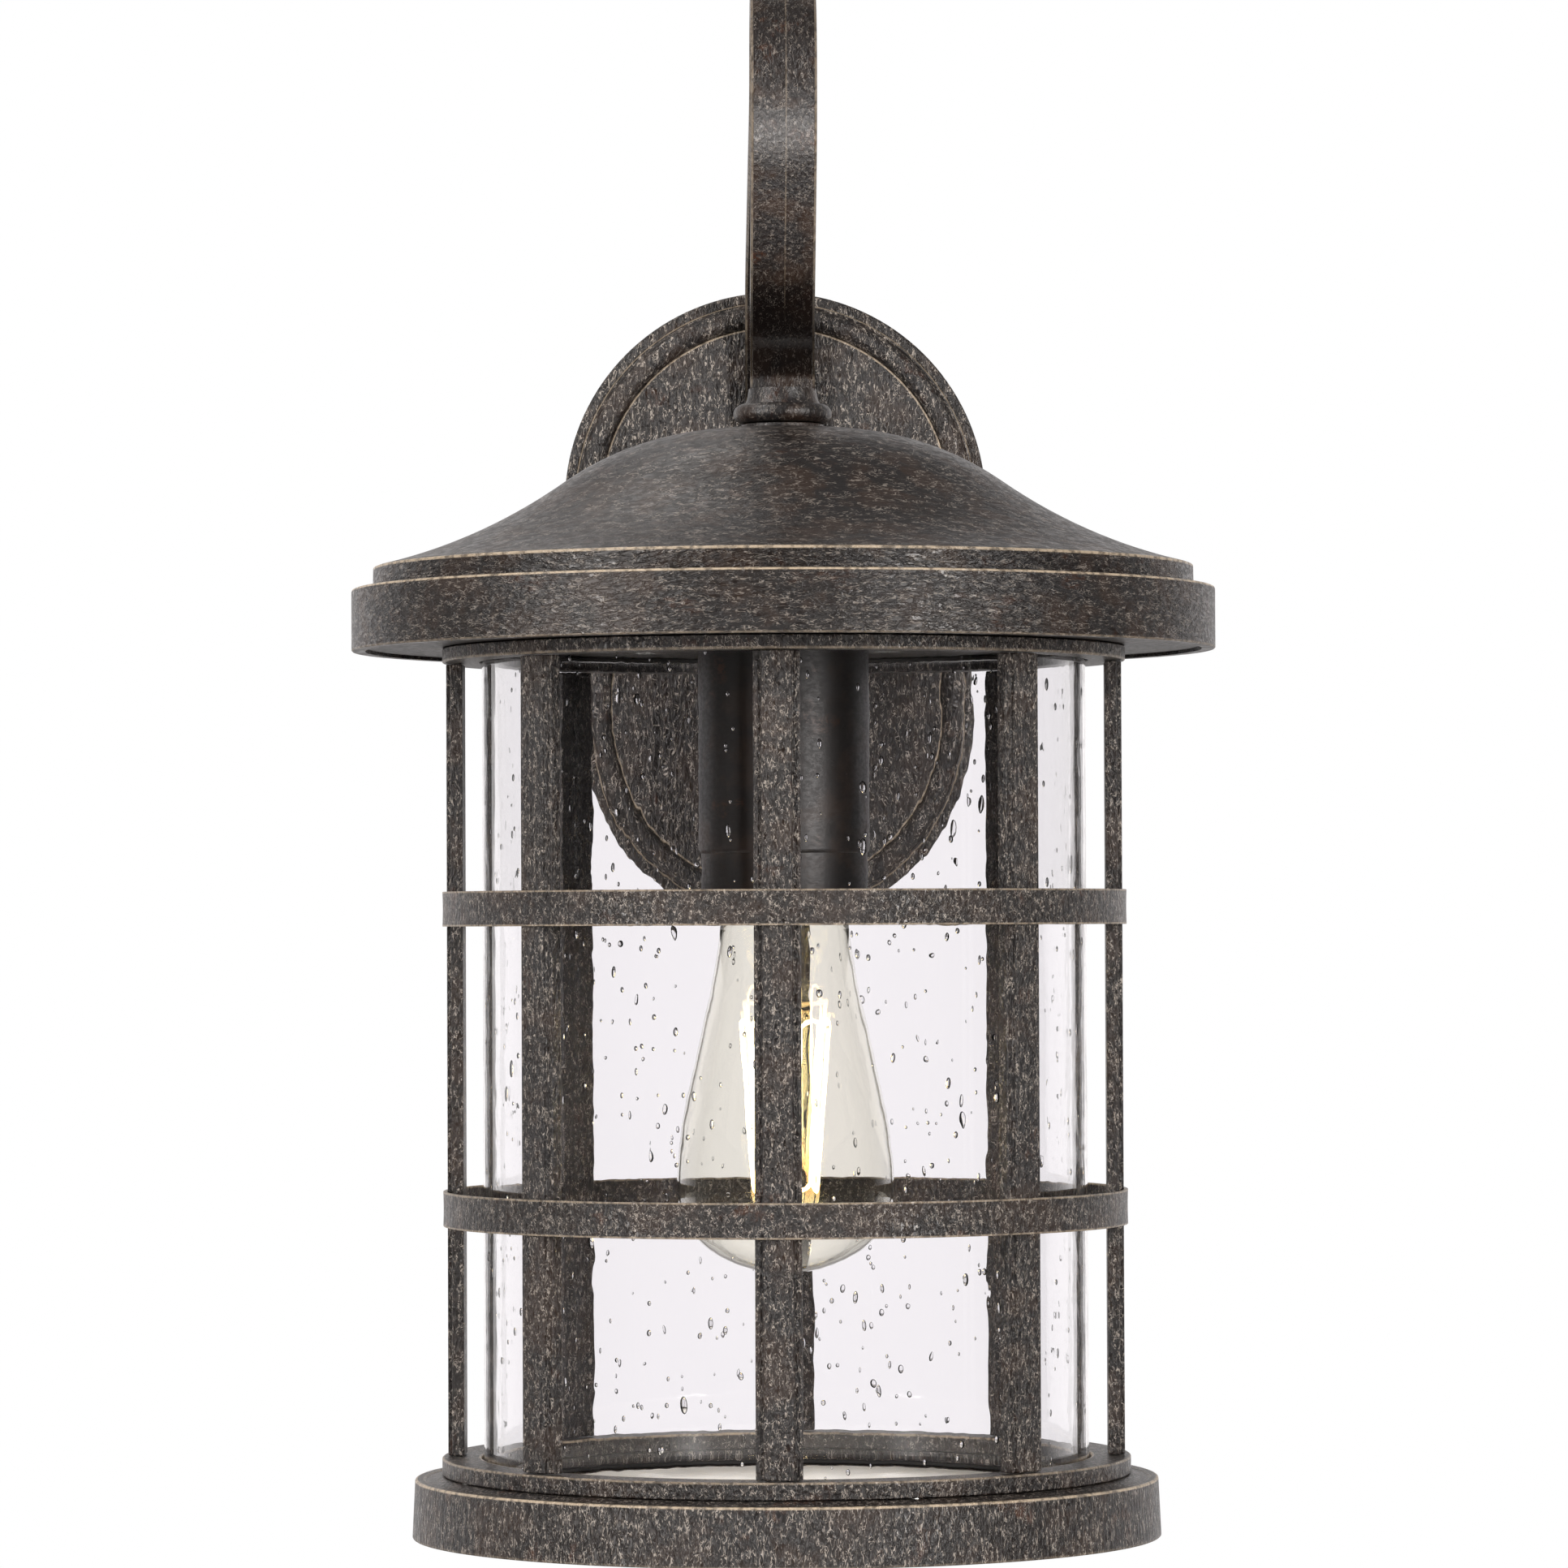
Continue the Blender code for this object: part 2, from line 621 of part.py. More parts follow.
# ---------------------------------------------------------------- hook arm


def arm_stations():
    """(forward, height, heading) along the strap's middle, from the neck over the hook to the foot.

    Forward is the distance from the lantern's axis towards the room. The heading is 0 straight up,
    and positive when it leans forward.
    """
    stations = [(0.0, BOSS_TOP - NECK_IN_BOSS, 0.0)]

    def straight(length):
        forward, height, heading = stations[-1]
        stations.append((forward + length * sin(heading), height + length * cos(heading), heading))

    def bend(radius, target):
        forward, height, heading = stations[-1]
        side = 1 if target < heading else -1
        middle = (forward - side * radius * cos(heading), height + side * radius * sin(heading))
        steps = max(2, round(abs(target - heading) / ARC_STEP))
        for step in range(1, steps + 1):
            now = heading + (target - heading) * step / steps
            forward = middle[0] + side * radius * cos(now)
            height = middle[1] - side * radius * sin(now)
            stations.append((forward, height, now))

    straight(NECK_STRAIGHT)
    bend(LEAN_RADIUS, LEAN)
    straight(LEAN_STRAIGHT)
    bend(BROW_RADIUS, 0)
    bend(HOOK_RADIUS, -HOOK_BACK)
    rear_heading = -(pi / 2 + REAR_SLOPE)
    bend(FLARE_RADIUS, rear_heading)
    foot_forward = FOOT_DEPTH - REACH
    elbow_travel = ELBOW_RADIUS * (1 - sin(REAR_SLOPE))
    level_run = stations[-1][0] - (foot_forward + elbow_travel)
    straight(level_run / cos(REAR_SLOPE))
    bend(ELBOW_RADIUS, -pi)
    straight(stations[-1][1] + FOOT_BELOW)
    return stations


def sweep(mesh, stations, section):
    """Skins a section of (sideways, out of the bend) points along the arm's middle line."""
    loops = []
    for forward, height, heading in stations:
        loop = []
        for sideways, out in section:
            ahead = forward + out * cos(heading)
            loop.append(mesh.verts.new((sideways, -REACH - ahead, height - out * sin(heading))))
        loops.append(loop)
    join_loops(mesh, loops, capped=True)


def rectangle(width, thick, chamfer=0.0):
    """Outline of a bar's section, with its corners cut where a chamfer is given."""
    x = width / 2
    y = thick / 2
    if not chamfer:
        return [(x, -y), (x, y), (-x, y), (-x, -y)]
    cut = chamfer
    return [
        (x, cut - y),
        (x, y - cut),
        (x - cut, y),
        (cut - x, y),
        (-x, y - cut),
        (-x, cut - y),
        (cut - x, -y),
        (x - cut, -y),
    ]


def boss_profile():
    """Turned boss under the strap: a round bead below a small flare."""
    half = BOSS_BEAD / 2
    bead = arc((BEAD_RADIUS - half, BOSS_BOTTOM + half), half, -90, 90, 4)
    flare_foot = BOSS_BOTTOM + BOSS_BEAD
    flare = []
    for step in range(FLARE_STEPS + 1):
        share = step / FLARE_STEPS
        radius = FLARE_FOOT + (FLARE_TOP - FLARE_FOOT) * sqrt(share)
        flare.append((radius, flare_foot + FLARE_HEIGHT * share))
    return [(0, BOSS_BOTTOM)] + bead + flare + [(0, BOSS_TOP)]


def make_arm():
    stations = arm_stations()
    mesh = bmesh.new()
    sweep(mesh, stations, rectangle(STRAP_WIDTH, STRAP_THICK, STRAP_CHAMFER))
    arm = add_object("hook_arm", mesh, bronze())
    boss = turned("union_boss", boss_profile(), ROUND_MEDIUM, bronze())
    boss.location = on_axis()
    boss.hide_render = True
    boss.display_type = "WIRE"
    combine(arm, boss, "UNION")
    channel = bmesh.new()
    sweep(channel, channel_stations(stations), rectangle(CHANNEL_WIDTH, CHANNEL_THICK))
    combine(arm, cutter("cut_arm_channel", channel), "DIFFERENCE")
    bores = bmesh.new()
    start = on_axis(BOSS_BOTTOM - MM)
    rod(bores, start, on_axis(BOSS_BOTTOM + PIPE_IN_BOSS), PIPE_CLEARANCE, ROUND_MEDIUM)
    for height in ARM_SCREW_HEIGHTS.values():
        start = wall_point(0, FOOT_BACK - MM, height)
        rod(bores, start, wall_point(0, FOOT_BACK + STRAP_THICK * 0.75, height), ARM_SCREW_RADIUS + GAP)
    half = CHANNEL_WIDTH / 2 - GAP
    low = (-half, -FOOT_DEPTH, WIRE_ENTRY - WIRE_ENTRY_HEIGHT / 2)
    high = (half, -FOOT_BACK + MM, WIRE_ENTRY + WIRE_ENTRY_HEIGHT / 2)
    block(bores, low, high)
    combine(arm, cutter("cut_arm_bores", bores), "DIFFERENCE")


def channel_stations(stations):
    """The arm's middle line from inside the boss to the bottom of the wire entry."""
    channel = [(0.0, BOSS_BOTTOM + PIPE_IN_BOSS - GAP, 0.0)] + stations[1:-1]
    forward, height, heading = stations[-1]
    channel.append((forward, WIRE_ENTRY - WIRE_ENTRY_HEIGHT / 2, heading))
    return channel


def make_collar():
    top = COLLAR_BOTTOM + COLLAR_THICK
    collar = ring("collar_washer", PIPE_CLEARANCE, COLLAR_RADIUS, COLLAR_BOTTOM, top, ROUND_MEDIUM, bronze())
    collar.location = on_axis()


def make_pipe():
    """Threaded pipe that carries the lantern, and its two nuts."""
    pipe = ring("lamp_pipe", PIPE_BORE, PIPE_RADIUS, PIPE_BOTTOM, PIPE_TOP, ROUND_MEDIUM, zinc())
    pipe.location = on_axis()
    under_roof = ROOF_TOP - ROOF_WALL - GAP
    nut = make_hex_nut("roof_nut", PIPE_RADIUS, NUT_RADIUS, NUT_HEIGHT, zinc())
    nut.location = on_axis(under_roof - NUT_HEIGHT)
    under_bracket = BRACKET_TOP - BRACKET_THICK - GAP
    nut = make_hex_nut("socket_nut", PIPE_RADIUS, NUT_RADIUS, NUT_HEIGHT, zinc())
    nut.location = on_axis(under_bracket - NUT_HEIGHT)


# ---------------------------------------------------------------- roof


def dome_outline(offset):
    """The ogee from the crown's edge to the upper tier's rim, moved inwards by an offset."""
    points = []
    middle = (DOME_FLAT, ROOF_TOP - DOME_CONVEX)
    for step in range(DOME_STEPS + 1):
        slope = DOME_STEEPEST * step / DOME_STEPS
        radius = DOME_CONVEX - offset
        points.append((middle[0] + radius * sin(slope), middle[1] + radius * cos(slope)))
    steep_radius = DOME_FLAT + DOME_CONVEX * sin(DOME_STEEPEST)
    steep_height = ROOF_TOP - DOME_CONVEX * (1 - cos(DOME_STEEPEST))
    middle = (
        steep_radius + DOME_CONCAVE * sin(DOME_STEEPEST),
        steep_height + DOME_CONCAVE * cos(DOME_STEEPEST),
    )
    rim = TIER_RADIUS - EDGE_ROUND
    last = asin((middle[0] - rim) / DOME_CONCAVE)
    for step in range(1, DOME_STEPS + 1):
        slope = DOME_STEEPEST + (last - DOME_STEEPEST) * step / DOME_STEPS
        radius = DOME_CONCAVE + offset
        points.append((middle[0] - radius * sin(slope), middle[1] - radius * cos(slope)))
    return points


def make_roof():
    """Spun roof: level crown, ogee dome, short upper tier and a deep fascia with an inturned lip."""
    outer = dome_outline(0)
    tier_top = outer[-1][1] - EDGE_ROUND / 2
    outer += [
        (TIER_RADIUS, tier_top),
        (TIER_RADIUS + TIER_DRAFT, FASCIA_TOP + TIER_DRAFT),
        (FASCIA_RADIUS - EDGE_ROUND, FASCIA_TOP),
        (FASCIA_RADIUS, FASCIA_TOP - EDGE_ROUND),
        (FASCIA_RADIUS, FASCIA_BOTTOM),
        (FASCIA_RADIUS - FASCIA_WALL, FASCIA_BOTTOM),
    ]
    inner = [point for point in dome_outline(ROOF_WALL) if point[0] < TIER_RADIUS - 2 * ROOF_WALL]
    step_height = FASCIA_TOP - ROOF_WALL
    last_radius, last_height = inner[-1]
    skirt = [
        (FASCIA_RADIUS - FASCIA_WALL, step_height),
        (TIER_RADIUS - ROOF_WALL, step_height),
        (TIER_RADIUS - ROOF_WALL, min(last_height, tier_top - ROOF_WALL)),
    ]
    crown = [(PIPE_CLEARANCE, ROOF_TOP - ROOF_WALL), (PIPE_CLEARANCE, ROOF_TOP)]
    if last_radius > TIER_RADIUS - 3 * ROOF_WALL:
        inner = inner[:-1]
    roof = turned("roof", crown[1:] + outer + skirt + inner[::-1] + crown[:1], ROUND, bronze())
    roof.location = on_axis()


def make_roof_pan():
    """Flat sheet that closes the roof below; the cage and the socket cover hang from it."""
    edge = FASCIA_RADIUS - FASCIA_WALL - GAP
    pan = ring("roof_pan", PIPE_CLEARANCE, edge, PAN_BOTTOM, PAN_TOP, ROUND, satin_bronze())
    pan.location = on_axis()
    holes = bmesh.new()
    screw_bores(holes, CAGE_SCREW_CIRCLE, PAN_BOTTOM - MM, PAN_TOP + MM)
    combine(pan, cutter("cut_roof_pan", holes), "DIFFERENCE")


# ---------------------------------------------------------------- cage


def bar_angles():
    return [CAGE_TURN + 2 * pi * index / BAR_COUNT for index in range(BAR_COUNT)]


def cage_screw_angles():
    """Three screws, each midway between two bars."""
    bars_between = BAR_COUNT // CAGE_SCREW_COUNT + 1
    half_bay = pi / BAR_COUNT
    return [CAGE_TURN + half_bay * (1 + 2 * bars_between * index) for index in range(CAGE_SCREW_COUNT)]


def screw_bores(mesh, circle, low, high):
    """Adds one rod at each cage screw, to cut a bore with."""
    for angle in cage_screw_angles():
        start = around(circle, angle, low)
        rod(mesh, start, around(circle, angle, high), CAGE_SCREW_RADIUS + GAP, CAGE_SCREW_SIDES)


def make_bars():
    """Stepped bars: a narrow rib on a wider flange, standing between the top and bottom rings."""
    face = BAR_FACE
    step = BAR_FACE - RIB_PROUD
    back = BAR_FACE - BAR_DEPTH
    outline = [
        (-BAR_WIDTH / 2, back),
        (BAR_WIDTH / 2, back),
        (BAR_WIDTH / 2, step),
        (RIB_WIDTH / 2, step),
        (RIB_WIDTH / 2, face),
        (-RIB_WIDTH / 2, face),
        (-RIB_WIDTH / 2, step),
        (-BAR_WIDTH / 2, step),
    ]
    for index, angle in enumerate(bar_angles()):
        mesh = bmesh.new()
        loops = []
        for height in (BAR_BOTTOM, BAR_TOP):
            loops.append([mesh.verts.new((x, -out, height)) for x, out in outline])
        join_loops(mesh, loops, capped=True)
        bar = add_object(f"cage_bar_{index + 1}", mesh, bronze(), smooth=False)
        bar.location = on_axis()
        bar.rotation_euler = (0, 0, angle)


def rib_notches(name):
    """Cutter for the eight ribs, which a band straddles."""
    mesh = bmesh.new()
    near = BAR_FACE - RIB_PROUD - MM
    far = BAR_FACE + GAP
    middle = (near + far) / 2
    size = (RIB_WIDTH + 2 * GAP, far - near, CAGE_HEIGHT)
    for angle in bar_angles():
        matrix = Matrix.Translation(on_axis((BAR_TOP + BAR_BOTTOM) / 2)) @ Matrix.Rotation(angle, 4, "Z")
        matrix = matrix @ Matrix.Translation((0, -middle, 0)) @ Matrix.Diagonal((*size, 1))
        bmesh.ops.create_cube(mesh, size=1, matrix=matrix)
    return cutter(name, mesh)


def eased_ring(inner, outer, bottom, top):
    """Section of a flat ring with its two outer edges eased."""
    ease = CAGE_EASE
    return [
        (inner, bottom),
        (outer - ease, bottom),
        (outer, bottom + ease),
        (outer, top - ease),
        (outer - ease, top),
        (inner, top),
    ]


def make_band(name, top):
    """Flat hoop round the bars, its edges eased, notched inside for each rib."""
    profile = eased_ring(BAND_INNER, BAND_OUTER, top - BAND_HEIGHT, top)
    band = turned(name, profile, ROUND, bronze())
    band.location = on_axis()
    band.rotation_euler = (0, 0, CAGE_TURN)
    combine(band, rib_notches("cut_" + name), "DIFFERENCE")


def make_rings():
    """Top and bottom rings, which the bars stand between and which steady the glass."""
    low = TOP_RING_TOP - TOP_RING
    ring_top = turned("cage_top_ring", eased_ring(RING_INNER, RING_OUTER, low, TOP_RING_TOP), ROUND, bronze())
    ring_top.location = on_axis()
    holes = bmesh.new()
    screw_bores(holes, CAGE_SCREW_CIRCLE, low + CAGE_SCREW_SHORT, TOP_RING_TOP + MM)
    combine(ring_top, cutter("cut_cage_top_ring", holes), "DIFFERENCE")
    low = BOTTOM_RING_TOP - BOTTOM_RING
    section = eased_ring(RING_INNER, BOTTOM_RING_OUTER, low, BOTTOM_RING_TOP)
    ring_low = turned("cage_bottom_ring", section, ROUND, bronze())
    ring_low.location = on_axis()
    holes = bmesh.new()
    screw_bores(holes, BASE_SCREW_CIRCLE, low - MM, low + BASE_SCREW_BITE + GAP)
    combine(ring_low, cutter("cut_cage_bottom_ring", holes), "DIFFERENCE")


def make_cage_screws():
    for index, angle in enumerate(cage_screw_angles()):
        make_screw(
            f"cage_screw_{index + 1}",
            around(CAGE_SCREW_CIRCLE, angle, PAN_TOP + GAP),
            (0, 0, 1),
            CAGE_SCREW_RADIUS,
            SHEET + TOP_RING - CAGE_SCREW_SHORT,
            CAGE_SCREW_HEAD,
            CAGE_SCREW_HEAD_HEIGHT,
            zinc(),
        )


def make_glass():
    inner = GLASS_RADIUS - GLASS_WALL
    glass = ring("glass_cylinder", inner, GLASS_RADIUS, GLASS_BOTTOM, GLASS_TOP, ROUND, seeded_glass())
    glass.location = on_axis()
    seal_low = LEDGE_TOP + GAP
    seal = ring("glass_seal_lower", inner, GLASS_RADIUS, seal_low, seal_low + GLASS_SEAL, ROUND, rubber())
    seal.location = on_axis()
    seal_high = PAN_BOTTOM - GAP
    seal = ring("glass_seal_upper", inner, GLASS_RADIUS, seal_high - GLASS_SEAL, seal_high, ROUND, rubber())
    seal.location = on_axis()


# ---------------------------------------------------------------- base


def make_base():
    """Cast base: a deck under the bottom ring, a hollow edge to a wider rim, and a ledge for the glass."""
    lip = BASE_FOOT_RADIUS - BASE_WALL
    cove = BOTTOM_RING_OUTER + GAP
    profile = [
        (LEDGE_INNER, DECK_BOTTOM),
        (lip - GAP, DECK_BOTTOM),
        (lip, BASE_BOTTOM),
        (BASE_FOOT_RADIUS, BASE_BOTTOM),
        (BASE_TOP_RADIUS, BASE_EDGE - BASE_EASE),
        (BASE_TOP_RADIUS - BASE_EASE, BASE_EDGE),
        (BASE_TOP_RADIUS - SHOULDER_WIDTH, BASE_EDGE),
        (cove + COVE_RUN, DECK_TOP - COVE_FALL),
        (cove, DECK_TOP),
        (RING_INNER, DECK_TOP),
        (RING_INNER, LEDGE_TOP),
        (LEDGE_INNER, LEDGE_TOP),
    ]
    base = turned("base_ring", profile, ROUND, bronze())
    base.location = on_axis()
    holes = bmesh.new()
    screw_bores(holes, BASE_SCREW_CIRCLE, DECK_BOTTOM - MM, DECK_TOP + MM)
    thumb_bores(holes, DECK_BOTTOM - MM, LEDGE_TOP - THUMB_SHORT)
    combine(base, cutter("cut_base_ring", holes), "DIFFERENCE")


def thumb_angles():
    return [CAGE_TURN + 2 * pi * index / THUMB_COUNT for index in range(THUMB_COUNT)]


def thumb_bores(mesh, low, high):
    """Adds one rod at each thumb screw, to cut a bore with."""
    for angle in thumb_angles():
        rod(mesh, around(THUMB_CIRCLE, angle, low), around(THUMB_CIRCLE, angle, high), THUMB_SHANK + GAP)


def make_base_screws():
    for index, angle in enumerate(cage_screw_angles()):
        make_screw(
            f"base_screw_{index + 1}",
            around(BASE_SCREW_CIRCLE, angle, DECK_BOTTOM - GAP),
            (0, 0, -1),
            CAGE_SCREW_RADIUS,
            BASE_DECK + GAP + BASE_SCREW_BITE,
            BASE_SCREW_HEAD,
            CAGE_SCREW_HEAD_HEIGHT,
            zinc(),
        )


def make_base_pan():
    """Dished floor, let down from below for changing the bulb."""
    dish = LEDGE_INNER - 2 * GAP
    floor = FLANGE_TOP + PAN_DROP
    profile = [
        (0, floor),
        (dish - PAN_EASE, floor),
        (dish, floor - PAN_EASE),
        (dish, FLANGE_TOP),
        (PAN_FLANGE, FLANGE_TOP),
        (PAN_FLANGE, FLANGE_BOTTOM),
        (dish - SHEET, FLANGE_BOTTOM),
        (dish - SHEET, floor - SHEET),
        (0, floor - SHEET),
    ]
    pan = turned("base_pan", profile, ROUND, satin_bronze())
    pan.location = on_axis()
    holes = bmesh.new()
    thumb_bores(holes, FLANGE_BOTTOM - MM, FLANGE_TOP + MM)
    combine(pan, cutter("cut_base_pan", holes), "DIFFERENCE")


def make_thumb_screws():
    """Knurled-head screws under the floor's flange."""
    length = SHEET + GAP + LEDGE_THICK - 2 * THUMB_SHORT
    profile = [
        (0, THUMB_HEAD),
        (THUMB_RADIUS - CAGE_EASE, THUMB_HEAD),
        (THUMB_RADIUS, THUMB_HEAD - CAGE_EASE),
        (THUMB_RADIUS, THUMB_FOOT),
        (THUMB_NECK, THUMB_FOOT - CAGE_EASE),
        (THUMB_NECK, 0),
        (THUMB_SHANK, 0),
        (THUMB_SHANK, -length),
        (0, -length),
    ]
    for index, angle in enumerate(thumb_angles()):
        screw = turned(f"thumb_screw_{index + 1}", profile, ROUND_MEDIUM, brass())
        place(screw, around(THUMB_CIRCLE, angle, FLANGE_BOTTOM - GAP), pointing=(0, 0, -1))


# ---------------------------------------------------------------- socket and bulb


def make_socket_cover():
    """Long can over the socket, open below, its lower part drawn in by a small step."""
    step = COVER_TOP - COVER_STEP
    bottom = PAN_BOTTOM - COVER_LENGTH
    outer = [
        (PIPE_CLEARANCE, COVER_TOP),
        (COVER_RADIUS - COVER_EASE, COVER_TOP),
        (COVER_RADIUS, COVER_TOP - COVER_EASE),
        (COVER_RADIUS, step + COVER_EASE),
        (COVER_LOWER_RADIUS, step),
        (COVER_LOWER_RADIUS, bottom + COVER_EASE / 2),
        (COVER_LOWER_RADIUS - COVER_EASE / 2, bottom),
    ]
    bore = COVER_LOWER_RADIUS - COVER_WALL
    inner = [(bore, bottom), (bore, COVER_TOP - COVER_WALL), (PIPE_CLEARANCE, COVER_TOP - COVER_WALL)]
    cover = turned("socket_cover", outer + inner, ROUND_MEDIUM, satin_bronze())
    cover.location = on_axis()


def make_bracket():
    """Steel stirrup from the pipe down to the socket's shoulders."""
    top = BRACKET_TOP
    foot = SOCKET_HIGH + GAP
    half = NUT_RADIUS + 3 * GAP + BRACKET_THICK
    outline = [
        (-half - BRACKET_FOOT, foot),
        (-half - BRACKET_FOOT, foot + BRACKET_THICK),
        (-half, foot + BRACKET_THICK),
        (-half, top),
        (half, top),
        (half, foot + BRACKET_THICK),
        (half + BRACKET_FOOT, foot + BRACKET_THICK),
        (half + BRACKET_FOOT, foot),
        (half - BRACKET_THICK, foot),
        (half - BRACKET_THICK, top - BRACKET_THICK),
        (BRACKET_THICK - half, top - BRACKET_THICK),
        (BRACKET_THICK - half, foot),
    ]
    mesh = bmesh.new()
    loops = []
    for y in (-REACH - BRACKET_WIDTH / 2, -REACH + BRACKET_WIDTH / 2):
        loops.append([mesh.verts.new((x, y, z)) for x, z in outline])
    join_loops(mesh, loops, capped=True)
    bracket = add_object("socket_bracket", mesh, zinc(), smooth=False)
    holes = bmesh.new()
    rod(holes, on_axis(top - BRACKET_THICK - MM), on_axis(top + MM), PIPE_CLEARANCE, ROUND_MEDIUM)
    combine(bracket, cutter("cut_bracket", holes), "DIFFERENCE")


def make_socket():
    """Porcelain body with a threaded brass shell and a sprung centre contact."""
    shell_outer = CAP_RADIUS + GAP + SHELL_WALL
    bore = shell_outer + GAP
    seat = BULB_TOP + SOCKET_FLOOR
    mouth_ease = SOCKET_EASE / 2
    profile = [
        (0, SOCKET_HIGH),
        (SOCKET_RADIUS - SOCKET_EASE, SOCKET_HIGH),
        (SOCKET_RADIUS, SOCKET_HIGH - SOCKET_EASE),
        (SOCKET_RADIUS, SOCKET_LOW + mouth_ease),
        (SOCKET_RADIUS - mouth_ease, SOCKET_LOW),
        (bore, SOCKET_LOW),
        (bore, seat),
        (0, seat),
    ]
    body = turned("socket_body", profile, ROUND_MEDIUM, porcelain())
    body.location = on_axis()
    shell_top = seat - GAP
    shell_profile = [
        (shell_outer, SOCKET_LOW + SHELL_SHORT),
        (shell_outer, shell_top),
        (SHELL_OPENING, shell_top),
        (SHELL_OPENING, shell_top - SHELL_WALL),
        (shell_outer - SHELL_WALL, shell_top - SHELL_WALL),
        (shell_outer - SHELL_WALL, SOCKET_LOW + SHELL_SHORT),
    ]
    shell = turned("socket_shell", shell_profile, ROUND_MEDIUM, brass())
    shell.location = on_axis()
    low = BULB_TOP + GAP
    contact = ring("socket_contact", CONTACT_BORE, CONTACT_RADIUS, low, seat - GAP, ROUND_SMALL, brass())
    contact.location = on_axis()


def bulb_outline(offset):
    """The bulb's wall from the tip up to the neck's end, moved inwards by an offset."""
    widest = BULB_TIP + BULB_WIDEST
    points = []
    for step in range(BULB_TIP_STEPS + 1):
        angle = -pi / 2 + pi / 2 * step / BULB_TIP_STEPS
        points.append(((BULB_RADIUS - offset) * cos(angle), widest + (BULB_WIDEST - offset) * sin(angle)))
    points[0] = (0, BULB_TIP + offset)
    shoulder = BULB_TIP + BULB_SHOULDER
    rise = shoulder - widest
    drop = BULB_RADIUS - BULB_SHOULDER_RADIUS
    for step in range(1, BULB_BODY_STEPS + 1):
        share = step / BULB_BODY_STEPS
        ease = share * share * (2.4 - 1.4 * share)
        points.append((BULB_RADIUS - offset - drop * ease, widest + rise * share))
    reach = CAP_LOW - BULB_NECK_STRAIGHT - shoulder
    for step in range(1, BULB_NECK_STEPS + 1):
        share = step / BULB_NECK_STEPS
        ease = (1 - cos(pi * share)) / 2
        radius = BULB_SHOULDER_RADIUS + (BULB_NECK_RADIUS - BULB_SHOULDER_RADIUS) * ease
        points.append((radius - offset, shoulder + reach * share))
    points.append((BULB_NECK_RADIUS - offset, CAP_LOW))
    return points


def make_bulb():
    outer = bulb_outline(0)
    inner = bulb_outline(BULB_WALL)
    glass = turned("bulb_glass", outer + inner[::-1], ROUND_MEDIUM, bulb_glass_finish())
    glass.location = on_axis()
    make_cap()


def make_cap():
    """Screw cap of the bulb, with its black insulator and centre contact."""
    low = CAP_LOW + GAP
    crown = BULB_TOP - CAP_CONE
    bend = crown - CAP_CHAMFER
    bore = CAP_RADIUS - CAP_WALL
    profile = [
        (CAP_RADIUS, low),
        (CAP_RADIUS, bend),
        (CAP_CROWN, crown),
        (CAP_CROWN - CAP_WALL, crown),
        (bore, bend - CAP_WALL / 2),
        (bore, low),
    ]
    cap = turned("bulb_cap", profile, ROUND_MEDIUM, zinc())
    cap.location = on_axis()
    insulator_bore = TIP_CONTACT_RADIUS + GAP
    insulator_radius = CAP_CROWN - CAP_WALL - 2 * GAP
    top = BULB_TOP - 2 * TIP_CONTACT_ROUND
    foot = crown - TIP_CONTACT_ROUND
    profile = [(insulator_bore, top), (insulator_radius, crown), (insulator_radius, foot), (insulator_bore, foot)]
    insulator = turned("bulb_insulator", profile, ROUND_MEDIUM, rubber())
    insulator.location = on_axis()
    edge = BULB_TOP - TIP_CONTACT_ROUND
    profile = [(0, BULB_TOP), (TIP_CONTACT_RADIUS, edge), (TIP_CONTACT_RADIUS, foot), (0, foot)]
    contact = turned("bulb_contact", profile, ROUND_SMALL, brass())
    contact.location = on_axis()


def make_stem():
    """Glass mount inside the bulb: a pressed stem, and a thin rod down its middle that carries the hooks."""
    high = CAP_LOW - 2 * MM
    press = BULB_TIP + FILAMENT_TOP + STEM_OVER_FILAMENT
    low = BULB_TIP + FILAMENT_BOTTOM
    flange = BULB_NECK_RADIUS - BULB_WALL - 2 * GAP
    profile = [
        (0, high),
        (flange, high),
        (STEM_RADIUS * 1.8, high - 2 * STEM_RADIUS),
        (STEM_RADIUS * 1.2, press + 2 * STEM_RADIUS),
        (STEM_RADIUS, press),
        (STEM_ROD, press - STEM_RADIUS),
        (STEM_ROD, low),
        (0, low - STEM_ROD),
    ]
    stem = turned("bulb_stem", profile, ROUND_MEDIUM, seeded_glass())
    stem.location = on_axis()


def filament_route():
    """Up and down round the stem: a squirrel-cage of long loops."""
    top = BULB_TIP + FILAMENT_TOP
    bottom = BULB_TIP + FILAMENT_BOTTOM + 2 * FILAMENT_TURN
    ends = (bottom + FILAMENT_TURN, top - FILAMENT_TURN)
    points = []
    for leg in range(FILAMENT_LEGS):
        rising = leg % 2 == 0
        angle = radians(20) + 2 * pi * leg / FILAMENT_LEGS
        for height in ends if rising else reversed(ends):
            share = (height - bottom) / (top - bottom)
            radius = FILAMENT_RADIUS * (FILAMENT_TAPER + (1 - FILAMENT_TAPER) * share)
            points.append(around(radius, angle, height))
        if leg < FILAMENT_LEGS - 1:
            radius = FILAMENT_RADIUS * (1 if rising else FILAMENT_TAPER)
            points.append(around(radius, angle + pi / FILAMENT_LEGS, top if rising else bottom))
    return points


